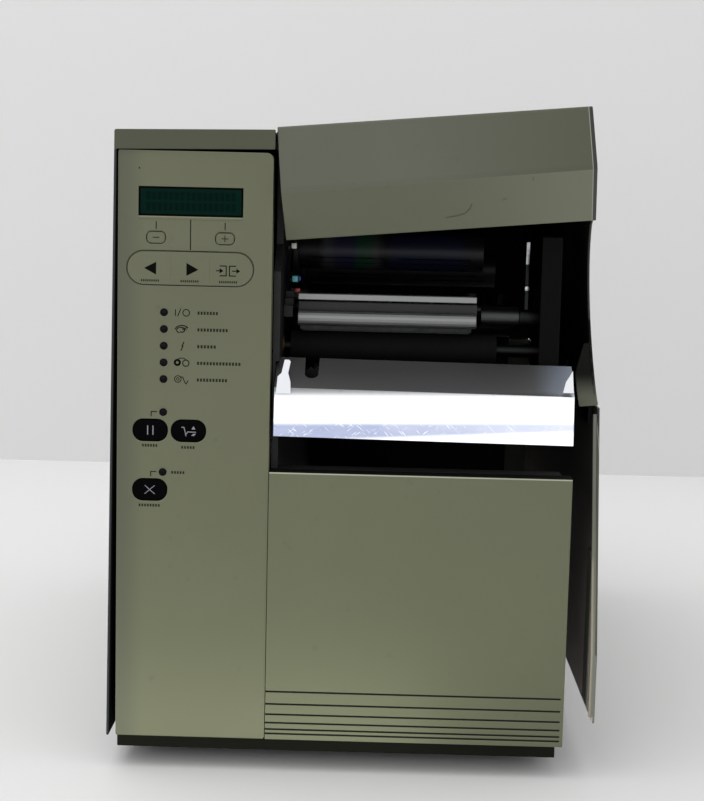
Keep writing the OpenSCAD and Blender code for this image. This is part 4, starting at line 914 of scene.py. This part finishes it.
# plugs and leads of the head, on the frame side of the head so that they clear it when it lifts
plugs = [("whitePlug", whiteNylon, (-34.4, -31.4), (-217, -213), (319, 322.4)),
         ("tealPlug", tealNylon, (-33.6, -30.2), (-217, -212), (298.4, 302.2)),
         ("redPlug", redNylon, (-31.6, -28.6), (-218, -213), (292.2, 294.6)),
         ("bluePlug", blueNylon, (-30.0, -28.6), (-214, -210), (299, 302))]
for name, finish, *sides in plugs:
    joinSurfaces(name, [boxGrid(*sides)], finish, "chassis")
leadRadius = 0.7
leads = [tubeGrid([(-36, -213, 320 - i), (-35.5, -205, 319 - 2 * i), (-37, -196, 309 - i),
                   (-37, -180 + i, 296 - i), (-38, -173, 291)], leadRadius) for i in range(2)]
leads += [tubeGrid([(-35, -211, 299 + i), (-34.5, -203, 303 + i), (-36, -188, 300 + i), (-38, -172, 291)],
                   leadRadius) for i in range(2)]
joinSurfaces("headLeads", leads, blackAbs, "chassis")

# the door stands ajar: its nose is scratched, and a rubber lip on the rear return of the upper leaf keeps
# light and dust out of the gap at the fold
doorPlan = {"hinge": (-41.0, 387.8), "ajar": 5.0, "lean": 0.612, "creaseY": -264.97, "creaseZ": 352.7,
            "seal": {"x": (122.5, 141.3), "y": (260.1, 261.2), "z": (203.0, 212.5)}, "scratch": 0.04}


def leafPose(points):
    # turned about the hinge line by the angle at which the door rests ajar
    turn, (hingeX, hingeZ) = math.radians(doorPlan["ajar"]), doorPlan["hinge"]
    x, z = points[..., 0] - hingeX * mm, points[..., 2] - hingeZ * mm
    turned = points.copy()
    turned[..., 0] = x * math.cos(turn) - z * math.sin(turn) + hingeX * mm
    turned[..., 2] = x * math.sin(turn) + z * math.cos(turn) + hingeZ * mm
    return turned


def onNose(flat):
    # the face below the crease leans back by a share of the drop
    y = doorPlan["creaseY"] + (doorPlan["creaseZ"] - flat[:, 1]) * doorPlan["lean"]
    return leafPose(np.stack([flat[:, 0], y, flat[:, 1]], 1) * mm)


wearAndPaintedLight = [([(54.1, 332.0), (61.2, 332.7), (65.5, 333.8), (68.6, 336.4), (69.8, 339.5)], 0.4),
        ([(105.8, 352.4), (105.8, 350.2)], 0.4), ([(88.0, 340.4), (90.2, 341.0)], 0.3)]
addInk("noseScratches", "door_upper", wornPaint, 0, wearAndPaintedLight, (), doorPlan["scratch"],
       onNose)
joinSurfaces("foldSeal", [leafPose(boxGrid(**doorPlan["seal"]))], footRubber, "door_upper")

# bright spring clip on the lever
clip = {"x": (111.2, 114.0), "y": (-204.2, -202.6), "z": (295.4, 298.6)}
joinSurfaces("leverClip", [boxGrid(**clip)], zincSteel, bodyOf["head_lever"])

# screws with pan heads in the rear panel and the side plate, and hexagonal posts beside the ports
panHead = [(0, 0.05), (0, 1.4), (0.25, 2.5), (0.9, 3.1), (2.0, 3.2), (2.0, 0.05)]
hexPost = [(0, 0.05), (0, 2.2), (2.2, 2.4), (2.2, 0.05)]
screws = {"rear": [(x, z) for x in (-20, 50, 114) for z in (22, 372)] + [(-52, z) for z in (120, 300)],
          "ports": [(-84, z) for z in (225.5, 298.5, 154.5, 197.5)],
          "plate": [(-150, 222), (-190, 222), (-140, 262), (-186, 300), (-218, 300)],
          "headY": 259.0, "postY": 259.8, "plateX": 130.0}
rearHeads = [turnedGrid(panHead, (x, screws["headY"], z), (0, -1, 0), 16) for x, z in screws["rear"]]
posts = [turnedGrid(hexPost, (x, screws["postY"], z), (0, -1, 0), 6) for x, z in screws["ports"]]
joinSurfaces("rearScrews", rearHeads + posts, zincSteel, "chassis")
plateHeads = [turnedGrid(panHead, (screws["plateX"], y, z), (-1, 0, 0), 16) for y, z in screws["plate"]]
joinSurfaces("plateScrews", plateHeads, zincSteel, "chassis")
print("lamps, plugs and screws made")

# stage: pale table, pale wall, soft light
stageLook = {"table": "#e6e6e6", "wall": "#dcdcdc", "frontY": -2.5, "wallY": 0.877, "halfWidth": 3.0,
             "height": 3}


def stageSheet(name, corners, colour):
    # plain matt sheet, clear from its back, so that the object can be looked at from behind it
    mesh = bpy.data.meshes.new(name)
    mesh.from_pydata(corners, [], [(0, 1, 2, 3)])
    material, add = newFinish(name)
    matt = add("BsdfPrincipled", {"Base Color": colour, "Roughness": 0.8})
    back = add("NewGeometry").outputs["Backfacing"]
    shown = add("MixShader", {}, {0: back, 1: matt, 2: add("BsdfTransparent")})
    add("OutputMaterial", {}, {"Surface": shown})
    mesh.materials.append(material)
    newObject(name, mesh)


w, y0, y1, top = (stageLook[k] for k in ("halfWidth", "frontY", "wallY", "height"))
stageSheet("table", [(-w, y0, 0), (w, y0, 0), (w, y1, 0), (-w, y1, 0)], stageLook["table"])
stageSheet("wall", [(-w, y1, 0), (w, y1, 0), (w, y1, top), (-w, y1, top)], stageLook["wall"])

# the world lights the object at one level and is seen by the camera and in gloss at another
worldLook = {"light": 0.84, "seen": 1.0}
world = bpy.data.worlds.new("studio")
scene.world = world
world.use_nodes = True
tree = world.node_tree
background = tree.nodes["Background"]
background.inputs["Color"].default_value = (1, 1, 1, 1)
rays = addNode(tree, "LightPath").outputs
seen = addNode(tree, "Math", {"operation": "MAXIMUM"}, {0: rays["Is Camera Ray"], 1: rays["Is Glossy Ray"]})
strength = addNode(tree, "MapRange", span(0, 1, worldLook["light"], worldLook["seen"]), {"Value": seen})
tree.links.new(strength.outputs[0], background.inputs["Strength"])

# places, targets and sizes in metres; the table throws up a little light in front of the left corner
lampPlan = {
    "topLight": {"place": (-0.5, -0.3, 2.2), "target": (0, 0, 0.2), "size": (2.4, 2.0), "power": 20.0},
    "frontLight": {"place": (-0.6, -3.2, 0.9), "target": (0, -0.2, 0.2), "size": (2.6, 1.6), "power": 10.0,
                   "glossy": True},
    "tableBounce": {"place": (-0.09, -0.312, 0.001), "target": (-0.09, -0.312, 1), "size": (0.30, 0.07),
                    "power": 0.22},
}


def softBox(name, place, target, size, power, glossy=False):
    # a lamp that is glossy shows in shiny faces
    data = bpy.data.lights.new(name, "AREA")
    data.shape, data.size, data.size_y, data.energy = "RECTANGLE", *size, power
    lamp = newObject(name, data)
    lamp.location = place
    lamp.rotation_euler = (Vector(target) - Vector(place)).to_track_quat("-Z", "Y").to_euler()
    lamp.visible_glossy = glossy


for name, plan in lampPlan.items():
    softBox(name, **plan)
print("stage and lights made")

scene.view_settings.view_transform = "Standard"
